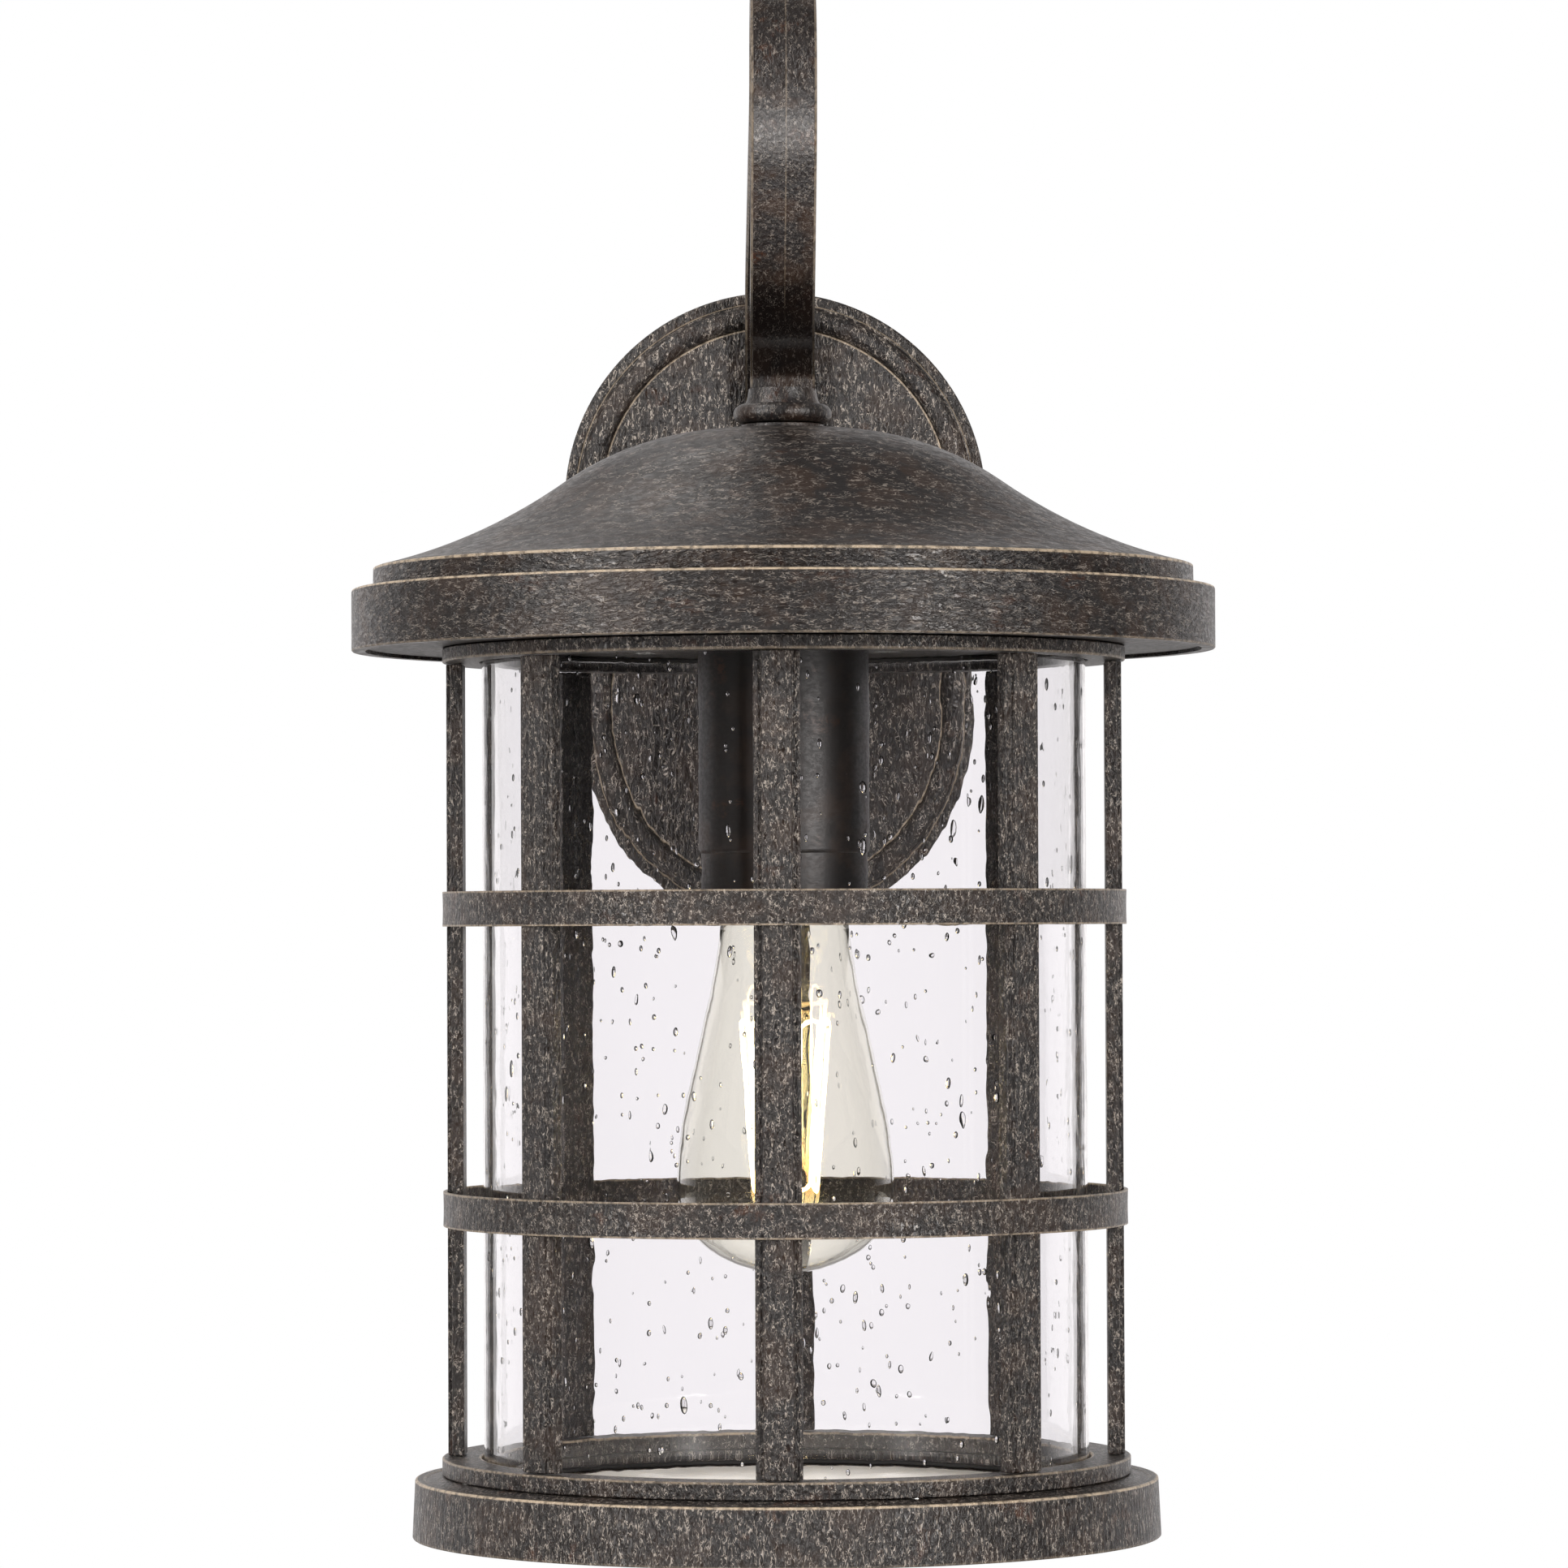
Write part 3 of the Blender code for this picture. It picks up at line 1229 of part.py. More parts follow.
def tube(name, points, radius, material, sides_level=1):
    """A round wire through a list of points, with closed ends."""
    curve = bpy.data.curves.new(name, "CURVE")
    curve.dimensions = "3D"
    curve.bevel_depth = radius
    curve.bevel_resolution = sides_level
    curve.use_fill_caps = True
    spline = curve.splines.new("POLY")
    spline.points.add(len(points) - 1)
    for target, point in zip(spline.points, points):
        target.co = (*point, 1)
    curve.materials.append(material)
    thing = bpy.data.objects.new(name, curve)
    bpy.context.scene.collection.objects.link(thing)
    return thing


# ---------------------------------------------------------------- wires


def cavity_arc(side):
    """From the wire nut up inside the plate, through it, and round into the arm's channel."""
    nut_x = side * WIRE_NUT_SPACING / 2
    near_x = side * WIRE_PITCH / 2
    start = WIRE_NUT_FOOT + WIRE_NUT_LENGTH
    end = WIRE_ENTRY - WIRE_BEND
    points = []
    for step in range(WIRE_STEPS + 1):
        share = step / WIRE_STEPS
        x = nut_x + (near_x - nut_x) * (1 - cos(pi * share)) / 2
        points.append(wall_point(x, WIRE_DEPTH, start + (end - start) * share))
    for step in range(1, WIRE_BEND_STEPS + 1):
        angle = pi / 2 * step / WIRE_BEND_STEPS
        depth = WIRE_DEPTH + WIRE_BEND * (1 - cos(angle))
        points.append(wall_point(near_x, depth, end + WIRE_BEND * sin(angle)))
    turn_start = FOOT_DEPTH - WIRE_TURN
    points.append(wall_point(near_x, turn_start, WIRE_ENTRY))
    for step in range(1, WIRE_BEND_STEPS + 1):
        angle = pi / 2 * step / WIRE_BEND_STEPS
        depth = turn_start + WIRE_TURN * sin(angle)
        points.append(wall_point(near_x, depth, WIRE_ENTRY + WIRE_TURN * (1 - cos(angle))))
    return points


def wire_route(side):
    """From the plate's hollow through the arm, down the pipe and out to the socket's terminal."""
    x = side * WIRE_PITCH / 2
    points = cavity_arc(side)
    for forward, height, _heading in reversed(arm_stations()[1:-1]):
        if height > WIRE_ENTRY + 2 * WIRE_TURN or forward > FOOT_DEPTH - REACH + MM:
            points.append((x, -REACH - forward, height))
    points.append((x, -REACH, BOSS_BOTTOM))
    points.append((x, -REACH, PIPE_BOTTOM + MM))
    start = PIPE_BOTTOM - MM
    end = SOCKET_HIGH + GAP
    for step in range(1, WIRE_BEND_STEPS + 1):
        share = step / WIRE_BEND_STEPS
        apart = side * WIRE_SPREAD * (1 - cos(pi * share)) / 2
        points.append((x + apart, -REACH, start + (end - start) * share))
    return points


def make_wires():
    tube("wire_line", wire_route(1), WIRE_RADIUS, insulation("black_insulation", (0.02, 0.02, 0.02)))
    tube("wire_neutral", wire_route(-1), WIRE_RADIUS, insulation("white_insulation", (0.8, 0.8, 0.78)))
    tube("wire_ground", ground_route(), WIRE_RADIUS, insulation("green_insulation", (0.05, 0.35, 0.1)))
    mouth = WIRE_NUT_LENGTH - GAP
    profile = [
        (0, 0),
        (WIRE_NUT_TAPER, MM),
        (WIRE_NUT_RADIUS, mouth - 2 * MM),
        (WIRE_NUT_RADIUS, mouth),
        (0, mouth),
    ]
    for side, label in ((1, "line"), (-1, "neutral")):
        nut = turned("wire_nut_" + label, profile, ROUND_SMALL, insulation("orange_nut", (0.75, 0.2, 0.03)))
        nut.location = wall_point(side * WIRE_NUT_SPACING / 2, WIRE_DEPTH, WIRE_NUT_FOOT)


def ground_route():
    """A short bow from the ground screw's head to the head of the lower arm screw."""
    start = Vector((GROUND_X, 0, 0))
    end = Vector((0, 0, ARM_SCREW_HEIGHTS["arm_screw_lower"]))
    depth_low = CROSSBAR_THICK + GAP + SCREW_HEAD + GAP + WIRE_RADIUS
    depth_high = PANEL_BACK - GAP - SCREW_HEAD - GAP - WIRE_RADIUS
    points = []
    for step in range(GROUND_STEPS + 1):
        share = step / GROUND_STEPS
        along = start.lerp(end, share)
        sag = GROUND_SAG * sin(pi * share)
        depth = depth_low + (depth_high - depth_low) * (1 - cos(pi * share)) / 2
        points.append(wall_point(along.x, depth, along.z - sag))
    return points


clear_scene()
make_crossbar()
make_gasket()
make_backplate()
make_wall_fixings()
make_arm()
make_collar()
make_pipe()
make_roof()
make_roof_pan()
make_rings()
make_bars()
make_band("cage_band_upper", BAR_TOP - BAND_UPPER)
make_band("cage_band_lower", BAR_TOP - BAND_LOWER)
make_cage_screws()
make_glass()
make_base()
make_base_screws()
make_base_pan()
make_thumb_screws()
make_socket_cover()
make_bracket()
make_socket()
make_bulb()
make_stem()
tube("bulb_filament", filament_route(), FILAMENT_WIRE, tungsten(), 0)
make_wires()
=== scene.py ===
import json
import random
from math import asin, cos, hypot, pi, radians, sin, sqrt

import bmesh
import bpy
from mathutils import Matrix, Vector

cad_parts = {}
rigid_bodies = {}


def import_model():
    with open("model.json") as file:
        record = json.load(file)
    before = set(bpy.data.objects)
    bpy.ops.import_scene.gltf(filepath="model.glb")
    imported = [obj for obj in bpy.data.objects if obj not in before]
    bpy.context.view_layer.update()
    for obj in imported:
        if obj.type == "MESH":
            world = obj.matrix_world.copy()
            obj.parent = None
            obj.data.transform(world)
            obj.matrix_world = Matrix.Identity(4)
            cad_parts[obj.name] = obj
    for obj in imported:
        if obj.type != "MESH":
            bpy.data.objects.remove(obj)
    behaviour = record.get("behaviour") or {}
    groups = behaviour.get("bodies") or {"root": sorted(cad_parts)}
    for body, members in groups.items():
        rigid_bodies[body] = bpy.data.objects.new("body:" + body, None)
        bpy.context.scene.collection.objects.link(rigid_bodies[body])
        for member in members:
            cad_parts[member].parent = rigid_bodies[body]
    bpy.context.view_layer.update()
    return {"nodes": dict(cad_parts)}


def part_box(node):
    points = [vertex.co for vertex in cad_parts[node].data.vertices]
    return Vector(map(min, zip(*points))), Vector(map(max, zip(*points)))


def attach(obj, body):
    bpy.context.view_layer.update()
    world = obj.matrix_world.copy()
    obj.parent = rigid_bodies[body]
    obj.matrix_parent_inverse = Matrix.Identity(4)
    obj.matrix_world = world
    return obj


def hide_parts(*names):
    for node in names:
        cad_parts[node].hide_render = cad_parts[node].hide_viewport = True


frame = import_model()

bpy.ops.object.select_all(action="DESELECT")


# ---------------------------------------------------------------- backplate
# The cast canopy against the wall: a stadium-shaped shell with a flat rim, a narrow cove, a round bead and a
# flat panel. Dark bronze powder coat with a fine wrinkle, rubbed pale where the panel meets the bead and
# along the rim; these pale lines are also painted edge highlights.

mm = 0.001
plate_low, plate_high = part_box("backplate")
plate_radius = (plate_high.x - plate_low.x) / 2
plate_straight = (plate_high.z - plate_low.z) / 2 - plate_radius
plate_back = -plate_high.y


class Shade:
    """One value running through a material; arithmetic on it adds the Math nodes."""

    def __init__(self, tree, socket=None):
        self.tree = tree
        self.socket = socket

    def node(self, kind, settings=None, sockets=None, output=0):
        made = self.tree.nodes.new("ShaderNode" + kind)
        for name, value in (settings or {}).items():
            if name != "stops":
                setattr(made, name, value)
                continue
            stops = made.color_ramp.elements
            while len(stops) < len(value):
                stops.new(0.5)
            for stop, (position, color) in zip(stops, value):
                stop.position = position
                stop.color = (*color, 1)
        for name, value in (sockets or {}).items():
            if isinstance(value, Shade):
                self.tree.links.new(value.socket, made.inputs[name])
            else:
                made.inputs[name].default_value = value
        return Shade(self.tree, made.outputs[output])

    def maths(self, operation, *values):
        return self.node("Math", {"operation": operation}, dict(enumerate(values)))

    def __add__(self, other):
        return self.maths("ADD", self, other)

    def __radd__(self, other):
        return self.maths("ADD", other, self)

    def __sub__(self, other):
        return self.maths("SUBTRACT", self, other)

    def __rsub__(self, other):
        return self.maths("SUBTRACT", other, self)

    def __mul__(self, other):
        return self.maths("MULTIPLY", self, other)

    def __rmul__(self, other):
        return self.maths("MULTIPLY", other, self)

    def __truediv__(self, other):
        return self.maths("DIVIDE", self, other)

    def __pow__(self, other):
        return self.maths("POWER", self, other)

    def __abs__(self):
        return self.maths("ABSOLUTE", self)

    def ease(self, low, high):
        """0 below low and 1 above high, with a smooth change between them."""
        sockets = {"Value": self, "From Min": low, "From Max": high}
        return self.node("MapRange", {"interpolation_type": "SMOOTHSTEP"}, sockets)

    def noise(self, place, scale, detail=2.0, roughness=0.5, distortion=0.0):
        """Noise between about 0.2 and 0.8, at so many waves a metre along X, Y and Z."""
        stretched = self.node("Mapping", sockets={"Vector": place, "Scale": scale})
        sockets = {"Vector": stretched, "Scale": 1.0, "Detail": detail}
        sockets |= {"Roughness": roughness, "Distortion": distortion}
        return self.node("TexNoise", sockets=sockets)

    def mix(self, factor, first, second):
        """A colour between two others."""
        sockets = {"Factor": factor, 6: color_of(first), 7: color_of(second)}
        return self.node("Mix", {"data_type": "RGBA"}, sockets, 2)


def color_of(value):
    return value if isinstance(value, Shade) else (*value, 1)


def new_finish(name):
    """An empty material: its shading value and its Principled shader."""
    material = bpy.data.materials.new(name)
    material.use_nodes = True
    return material, Shade(material.node_tree), material.node_tree.nodes["Principled BSDF"]


def feed(shade, shader, **sockets):
    """Sets or links the shader's sockets, named with _ for a space."""
    for name, value in sockets.items():
        socket = shader.inputs[name.replace("_", " ")]
        if isinstance(value, Shade):
            shade.tree.links.new(value.socket, socket)
        else:
            socket.default_value = value


def axes_of(shade):
    """The place on the object, and its X, Y and Z."""
    place = shade.node("TexCoord", output="Object")
    split = shade.node("SeparateXYZ", sockets={0: place})
    outputs = shade.tree.nodes[-1].outputs
    return place, Shade(shade.tree, outputs[0]), Shade(shade.tree, outputs[1]), Shade(shade.tree, outputs[2])


coat_dark = (0.0080, 0.0050, 0.0040)
coat_brown = (0.024, 0.0135, 0.0090)
coat_blue = (0.0095, 0.0078, 0.0080)
coat_rust = (0.090, 0.030, 0.010)
# The pale tan is a painted glint colour, put in the coat for highlights on the wrinkles.
painted_glint_tan = (0.60, 0.53, 0.46)
# Near black, for painted shade on the coat.
painted_shade_black = (0.002, 0.0015, 0.0015)
# Pale cream for rubbed edges, which also stands in for painted edge highlights.
rubbed_and_highlight_cream = (0.62, 0.50, 0.36)
drift_waves = (26, 26, 34)
patch_waves = (58, 58, 70)


def bronze_coat(name, grain, depth, gloss, rust=0.35, painted_glint_strength=0.25, wear_and_highlight_lines=None, calm=None, painted_shade=None):
    """Powder coat with wrinkles of so many waves a metre, so deep. Gloss is the roughness on the ridges; the
    next two are strengths, of the rust and of the painted glints; the last three are masks made from the
    place: rubbed edges that also carry a painted edge highlight, flatter coat, and coat that is smooth and
    carries painted shade."""
    material, shade, shader = new_finish(name)
    place, x, y, z = axes_of(shade)
    wrinkle = shade.noise(place, grain, 3.0, 0.62, 0.35)
    fold = wrinkle.ease(0.36, 0.66)
    drift = shade.noise(place, drift_waves, 3.0, 0.6)
    patch = shade.noise(place, patch_waves, 3.0, 0.65)
    color = shade.mix(drift.ease(0.38, 0.62), coat_dark, coat_blue)
    color = shade.mix(patch.ease(0.46, 0.64), color, coat_brown)
    worn = (1 - patch).ease(0.58, 0.70) * fold
    color = shade.mix(worn * rust, color, coat_rust)
    # Painted glints: thin broken threads of pale colour along the folds, standing in for highlights on the
    # wrinkles.
    vein = shade.noise(place, tuple(1.3 * wave for wave in grain), 1.0, 0.5, 0.9)
    away = (vein - 0.5) * (vein - 0.5)
    scatter = shade.noise(place, tuple(0.8 * wave for wave in grain), 2.0, 0.6)
    painted_glint = (1 - away.ease(0.0001, 0.0018)) * scatter.ease(0.43, 0.60)
    color = shade.mix(painted_glint * painted_glint_strength, color, painted_glint_tan)
    height = fold + 0.35 * wrinkle
    if calm:
        quiet = calm(shade, x, y, z)
        height = height * (1 - quiet)
    # Pale lines: rubbed wear on the edges, and painted edge highlights.
    if wear_and_highlight_lines:
        broken = shade.noise(place, (420, 420, 420), 2.0).ease(0.34, 0.56)
        drawn = wear_and_highlight_lines(shade, x, y, z)
        color = shade.mix(drawn * (0.35 + 0.65 * broken), color, rubbed_and_highlight_cream)
    rough = gloss + 0.14 * (1 - fold) + 0.08 * drift
    # Painted shade: the coat is darkened towards near black under this mask.
    if painted_shade:
        painted_dark = painted_shade(shade, x, y, z)
        color = shade.mix(painted_dark * 0.8, color, painted_shade_black)
        rough = rough * (1 - 0.75 * painted_dark)
        height = height * (1 - 0.7 * painted_dark)
    bump = shade.node("Bump", sockets={"Height": height, "Strength": 1.0, "Distance": depth})
    feed(shade, shader, Base_Color=color, Roughness=rough, Normal=bump, IOR=1.55)
    return material


def start_piece(name, point):
    """A mesh of one vertex, in edit mode, ready to be drawn out."""
    bpy.ops.object.select_all(action="DESELECT")
    bpy.ops.mesh.primitive_plane_add(size=mm, location=point)
    piece = bpy.context.object
    piece.name = name
    piece.data.name = name
    bpy.ops.object.transform_apply(location=True, rotation=True, scale=True)
    bpy.ops.object.mode_set(mode="EDIT")
    bpy.ops.mesh.select_mode(type="VERT")
    bpy.ops.mesh.select_all(action="SELECT")
    bpy.ops.mesh.merge(type="CENTER")
    return piece


def pick(piece, test):
    """Selects, in edit mode, the vertices whose place passes a test."""
    bpy.ops.mesh.select_all(action="DESELECT")
    mesh = bmesh.from_edit_mesh(piece.data)
    for vertex in mesh.verts:
        vertex.select = bool(test(vertex.co))
    mesh.select_flush_mode()
    mesh.select_flush(True)
    bmesh.update_edit_mesh(piece.data)


def push(offset):
    """Extrudes what is selected by an offset."""
    bpy.ops.mesh.extrude_region_move(TRANSFORM_OT_translate={"value": offset})


def draw_out(name, points, closed=True):
    """An outline through points, closed on itself or open, left selected in edit mode."""
    points = [Vector(point) for point in points]
    piece = start_piece(name, points[0])
    for before, after in zip(points, points[1:]):
        push(after - before)
    if closed:
        ends = (points[0], points[-1])
        pick(piece, lambda place: min((place - end).length for end in ends) < 0.002 * mm)
        bpy.ops.mesh.edge_face_add()
    bpy.ops.mesh.select_all(action="SELECT")
    return piece


def close_up(piece):
    """Merges what the turns left double, and turns the faces outwards."""
    bpy.ops.mesh.select_all(action="SELECT")
    bpy.ops.mesh.remove_doubles(threshold=0.0015 * mm)
    bpy.ops.mesh.normals_make_consistent(inside=False)
    bpy.ops.object.mode_set(mode="OBJECT")
    return piece


def soften(piece, width, segments=2, sharp=30):
    """Rounds the edges where the faces turn sharply, then smooths the shading of the rest."""
    bpy.ops.object.select_all(action="DESELECT")
    piece.select_set(True)
    bpy.context.view_layer.objects.active = piece
    if width:
        bpy.ops.object.modifier_add(type="BEVEL")
        bevel = piece.modifiers[-1]
        bevel.width = width
        bevel.segments = segments
        bevel.limit_method = "ANGLE"
        bevel.angle_limit = radians(sharp)
        bpy.ops.object.modifier_apply(modifier=bevel.name)
    bpy.ops.object.shade_smooth_by_angle(angle=radians(sharp))
    bpy.ops.object.modifier_add(type="WEIGHTED_NORMAL")
    level = piece.modifiers[-1]
    level.weight = 100
    level.keep_sharp = True
    bpy.ops.object.modifier_apply(modifier=level.name)
    return piece


def dress(piece, body, slot, material, *nodes):
    """Gives a piece its finish, its body, and the solids that it stands for."""
    piece.data.materials.clear()
    piece.data.materials.append(material)
    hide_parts(*nodes)
    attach(piece, body)
    return piece


rim_height = 14.6 * mm
rim_width = 3.3 * mm
cove_floor = 15.9 * mm
bead_start = 4.5 * mm
bead_end = 11.2 * mm
bead_foot = 16.4 * mm
bead_rise = 2.6 * mm
bead_steps = 12
panel_depth = 16.9 * mm
plate_wall = 2.4 * mm
plate_fillet = 3.4 * mm


def plate_outline():
    """(inset, depth) from the panel's edge over the bead and the rim to the hollow's back wall."""
    middle = (bead_start + bead_end) / 2
    half = (bead_end - bead_start) / 2
    points = [(bead_end + 0.35 * mm, panel_depth)]
    for step in range(bead_steps + 1):
        angle = pi * step / bead_steps
        points.append((middle + half * cos(angle), bead_foot + bead_rise * sin(angle)))
    points += [
        (bead_start - 0.45 * mm, cove_floor),
        (bead_start - 0.95 * mm, cove_floor),
        (rim_width, rim_height),
        (0.5 * mm, rim_height - 0.15 * mm),
        (0, rim_height - 0.8 * mm),
        (0, plate_back),
        (plate_wall, plate_back),
        (plate_wall, panel_depth - plate_wall - plate_fillet),
        (plate_wall + 0.3 * plate_fillet, panel_depth - plate_wall - 0.3 * plate_fillet),
        (plate_wall + plate_fillet, panel_depth - plate_wall),
    ]
    return points


def run_round(name, outline, radius, straight, steps):
    """Draws an outline of (inset, depth) all the way round a stadium shape in the wall's plane."""
    points = [(radius - inset, -depth, straight) for inset, depth in outline]
    piece = draw_out(name, points, closed=False)
    for side in (1, -1):
        bpy.ops.mesh.spin(steps=steps, angle=pi, center=(0, 0, side * straight), axis=(0, 1, 0))
        push((0, 0, -side * 2 * straight))
    bpy.ops.mesh.select_all(action="SELECT")
    bpy.ops.mesh.remove_doubles(threshold=0.0015 * mm)
    return piece


def fill_level(piece, depth, reach):
    """Closes the open edge that lies at one depth, inside a reach from the middle line."""

    def inside(place):
        off = hypot(place.x, max(abs(place.z) - plate_straight, 0))
        return abs(-place.y - depth) < 0.01 * mm and off < reach

    pick(piece, inside)
    bpy.ops.mesh.edge_face_add()


backplate = run_round("canopy_plate", plate_outline(), plate_radius, plate_straight, 72)
fill_level(backplate, panel_depth, plate_radius - bead_end)
fill_level(backplate, panel_depth - plate_wall, plate_radius - plate_wall - 0.9 * plate_fillet)
close_up(backplate)
soften(backplate, 0.12 * mm, 2, 28)


def plate_inset(shade, x, z):
    """Distance in from the plate's edge."""
    beyond = (abs(z) - plate_straight).maths("MAXIMUM", abs(z) - plate_straight, 0.0)
    off = (x * x + beyond * beyond) ** 0.5
    return plate_radius - off


def near(value, middle, half):
    """1 at a middle value, falling to 0 at half on either side."""
    return 1 - abs(value - middle).ease(0.45 * half, half)


# Pale lines at the bead's foot and the rim's edge: rubbed wear and painted edge highlight.
def plate_lines(shade, x, y, z):
    inset = plate_inset(shade, x, z)
    foot = near(inset, bead_end + 0.45 * mm, 0.42 * mm)
    rim = near(inset, rim_width + 0.12 * mm, 0.32 * mm)
    return shade.maths("MAXIMUM", 0.45 * rim, 0.62 * foot)


def plate_calm(shade, x, y, z):
    return 0.8 * near(plate_inset(shade, x, z), (rim_width + bead_start) / 2 + 0.1 * mm, 0.95 * mm)


plate_grain = (900, 900, 330)
plate_coat = bronze_coat("bronze_plate", plate_grain, 0.25 * mm, 0.26, 0.4, 0.7, plate_lines, plate_calm)
dress(backplate, "fixture", "textured_bronze", plate_coat, "backplate")


# ---------------------------------------------------------------- wall gasket
# A flat ring of black foam rubber glued round the canopy's back edge, which seals it to the wall.

gasket_low, gasket_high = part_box("wall_gasket")
gasket_inset = 0.4 * mm
gasket_reach = 6 * mm
gasket_outline = [
    (gasket_inset, -gasket_high.y),
    (gasket_inset, -gasket_low.y),
    (gasket_reach, -gasket_low.y),
    (gasket_reach, -gasket_high.y),
]
gasket_outline.append(gasket_outline[0])
gasket = run_round("foam_gasket", gasket_outline, plate_radius, plate_straight, 48)
close_up(gasket)
soften(gasket, 0.2 * mm)


def soft_finish(name, color, rough, grain=900, depth=0.03 * mm, spread=0.35):
    """A plain non-metal with a fine grain and a little unevenness of colour."""
    material, shade, shader = new_finish(name)
    place, _x, _y, _z = axes_of(shade)
    fine = shade.noise(place, (grain, grain, grain), 3.0, 0.6)
    broad = shade.noise(place, (40, 40, 40), 2.0)
    darker = tuple(channel * (1 - spread) for channel in color)
    tint = shade.mix(broad.ease(0.35, 0.65), darker, color)
    bump = shade.node("Bump", sockets={"Height": fine, "Strength": 0.6, "Distance": depth})
    feed(shade, shader, Base_Color=tint, Roughness=rough + 0.15 * fine, Normal=bump)
    return material


rubber = soft_finish("black_rubber", (0.022, 0.021, 0.021), 0.7, 1600, 0.06 * mm)
dress(gasket, "fixture", "rubber", rubber, "wall_gasket")


# ---------------------------------------------------------------- cap nuts
# Two closed ball nuts in the same bronze, run down on the crossbar's studs to hold the canopy to the wall.

axis_low, axis_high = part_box("roof")
axis_y = (axis_low.y + axis_high.y) / 2


def lathe(name, outline, steps, closed=True, middle=None, x=0.0):
    """Spins an outline of (radius, height) about the lantern's axis, or about another upright one."""
    middle = axis_y if middle is None else middle
    piece = draw_out(name, [(x + radius, middle, height) for radius, height in outline], closed)
    bpy.ops.mesh.spin(steps=steps, angle=2 * pi, center=(x, middle, 0), axis=(0, 0, 1))
    return close_up(piece)


def arc_points(middle, radius, start, end, steps):
    """Points on a circle, from one angle to another in degrees."""
    turns = [radians(start + (end - start) * step / steps) for step in range(steps + 1)]
    return [(middle[0] + radius * cos(turn), middle[1] + radius * sin(turn)) for turn in turns]


def copy_piece(piece, name):
    """Another of the same, with its own mesh."""
    again = piece.copy()
    again.data = piece.data.copy()
    again.name = name
    again.data.name = name
    bpy.context.scene.collection.objects.link(again)
    return again


def lay_down(piece, matrix):
    """Turns and shifts a mesh, leaving its object at the origin."""
    piece.data.transform(matrix)
    piece.data.update()
    return piece


nut_low, nut_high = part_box("cap_nut_left")
nut_radius = (nut_high.x - nut_low.x) / 2
nut_length = nut_high.y - nut_low.y
nut_bore = 2.35 * mm
ball = arc_points((0, nut_length - nut_radius), nut_radius, 90, -20, 12)
nut_foot = 0.95 * nut_radius
nut_outline = ball[1:] + [(0.87 * nut_radius, 1.2 * mm), (nut_foot, 1.0 * mm), (nut_foot, 0)]
nut_outline = [(0, nut_length)] + nut_outline + [(nut_bore, 0), (nut_bore, 6 * mm), (0, 6 * mm)]
nut_coat = bronze_coat("bronze_nuts", (1100, 1100, 1100), 0.08 * mm, 0.3)
nut = lathe("ball_nut_left", nut_outline, 48, closed=False, middle=0.0)
soften(nut, 0.15 * mm)
right_nut = copy_piece(nut, "ball_nut_right")
for side, piece in ((-1, nut), (1, right_nut)):
    label = "left" if side < 0 else "right"
    low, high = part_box("cap_nut_" + label)
    place = Matrix.Translation(((low.x + high.x) / 2, high.y, (low.z + high.z) / 2))
    lay_down(piece, place @ Matrix.Rotation(radians(90), 4, "X"))
    dress(piece, "cap_nut_" + label, "textured_bronze", nut_coat, "cap_nut_" + label)


# ---------------------------------------------------------------- hook arm
# One cast strap that rises from the lantern, leans forward, turns over in a hook and sweeps back and down to
# the canopy, where two screws hold it. A turned boss with a round bead closes its lower end. Same powder
# coat, with the mould's parting line down the middle.

arm_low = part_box("hook_arm")[0]
reach = -axis_y
boss_bottom = arm_low.z if arm_low.z > 0 else 47.3 * mm
boss_top = boss_bottom + 10.2 * mm
strap_width = 19 * mm
strap_thick = 8 * mm
strap_chamfer = 0.75 * mm
neck_in_boss = 6 * mm
lean = radians(42)
hook_back = radians(160)
rear_slope = radians(16)
elbow_radius = 28 * mm
foot_depth = panel_depth + 0.3 * mm + strap_thick / 2
foot_end = -30 * mm


def strap_section(height):
    """Corners of the strap's section, with a small flat across each long edge."""
    half_x = strap_width / 2
    half_y = strap_thick / 2
    cut = strap_chamfer
    corners = [
        (half_x, cut - half_y),
        (half_x, half_y - cut),
        (half_x - cut, half_y),
        (cut - half_x, half_y),
        (-half_x, half_y - cut),
        (-half_x, cut - half_y),
        (cut - half_x, -half_y),
        (half_x - cut, -half_y),
    ]
    return [(x, axis_y + y, height) for x, y in corners]


def strap_path():
    """Straights and bends in turn: (length) or (radius, new heading), from the boss to the foot."""
    return [
        (12 * mm,),
        (32 * mm, lean),
        (46.2 * mm,),
        (42 * mm, 0.0),
        (20 * mm, -hook_back),
        (26 * mm, -(pi / 2 + rear_slope)),
        None,
        (elbow_radius, -pi),
    ]


strap = draw_out("cast_hook_strap", strap_section(boss_top - neck_in_boss))
forward, height, heading = 0.0, boss_top - neck_in_boss, 0.0
for move in strap_path():
    if move is None:
        level_run = forward - (foot_depth - reach) - elbow_radius * (1 - sin(rear_slope))
        move = (level_run / cos(rear_slope),)
    if len(move) == 1:
        ahead, rise = move[0] * sin(heading), move[0] * cos(heading)
        push((0, -ahead, rise))
        forward, height = forward + ahead, height + rise
        continue
    radius, target = move
    side = 1 if target < heading else -1
    middle = (forward - side * radius * cos(heading), height + side * radius * sin(heading))
    turn = abs(target - heading)
    bpy.ops.mesh.spin(
        steps=max(6, round(turn / radians(3.5))),
        angle=turn,
        center=(0, axis_y - middle[0], middle[1]),
        axis=(side, 0, 0),
    )
    forward = middle[0] + side * radius * cos(target)
    height = middle[1] - side * radius * sin(target)
    heading = target
push((0, 0, foot_end - height))
bpy.ops.mesh.edge_face_add()
neck_end = boss_top - neck_in_boss
pick(strap, lambda place: abs(place.z - neck_end) < 0.01 * mm and abs(place.y - axis_y) < strap_thick)
bpy.ops.mesh.edge_face_add()
close_up(strap)

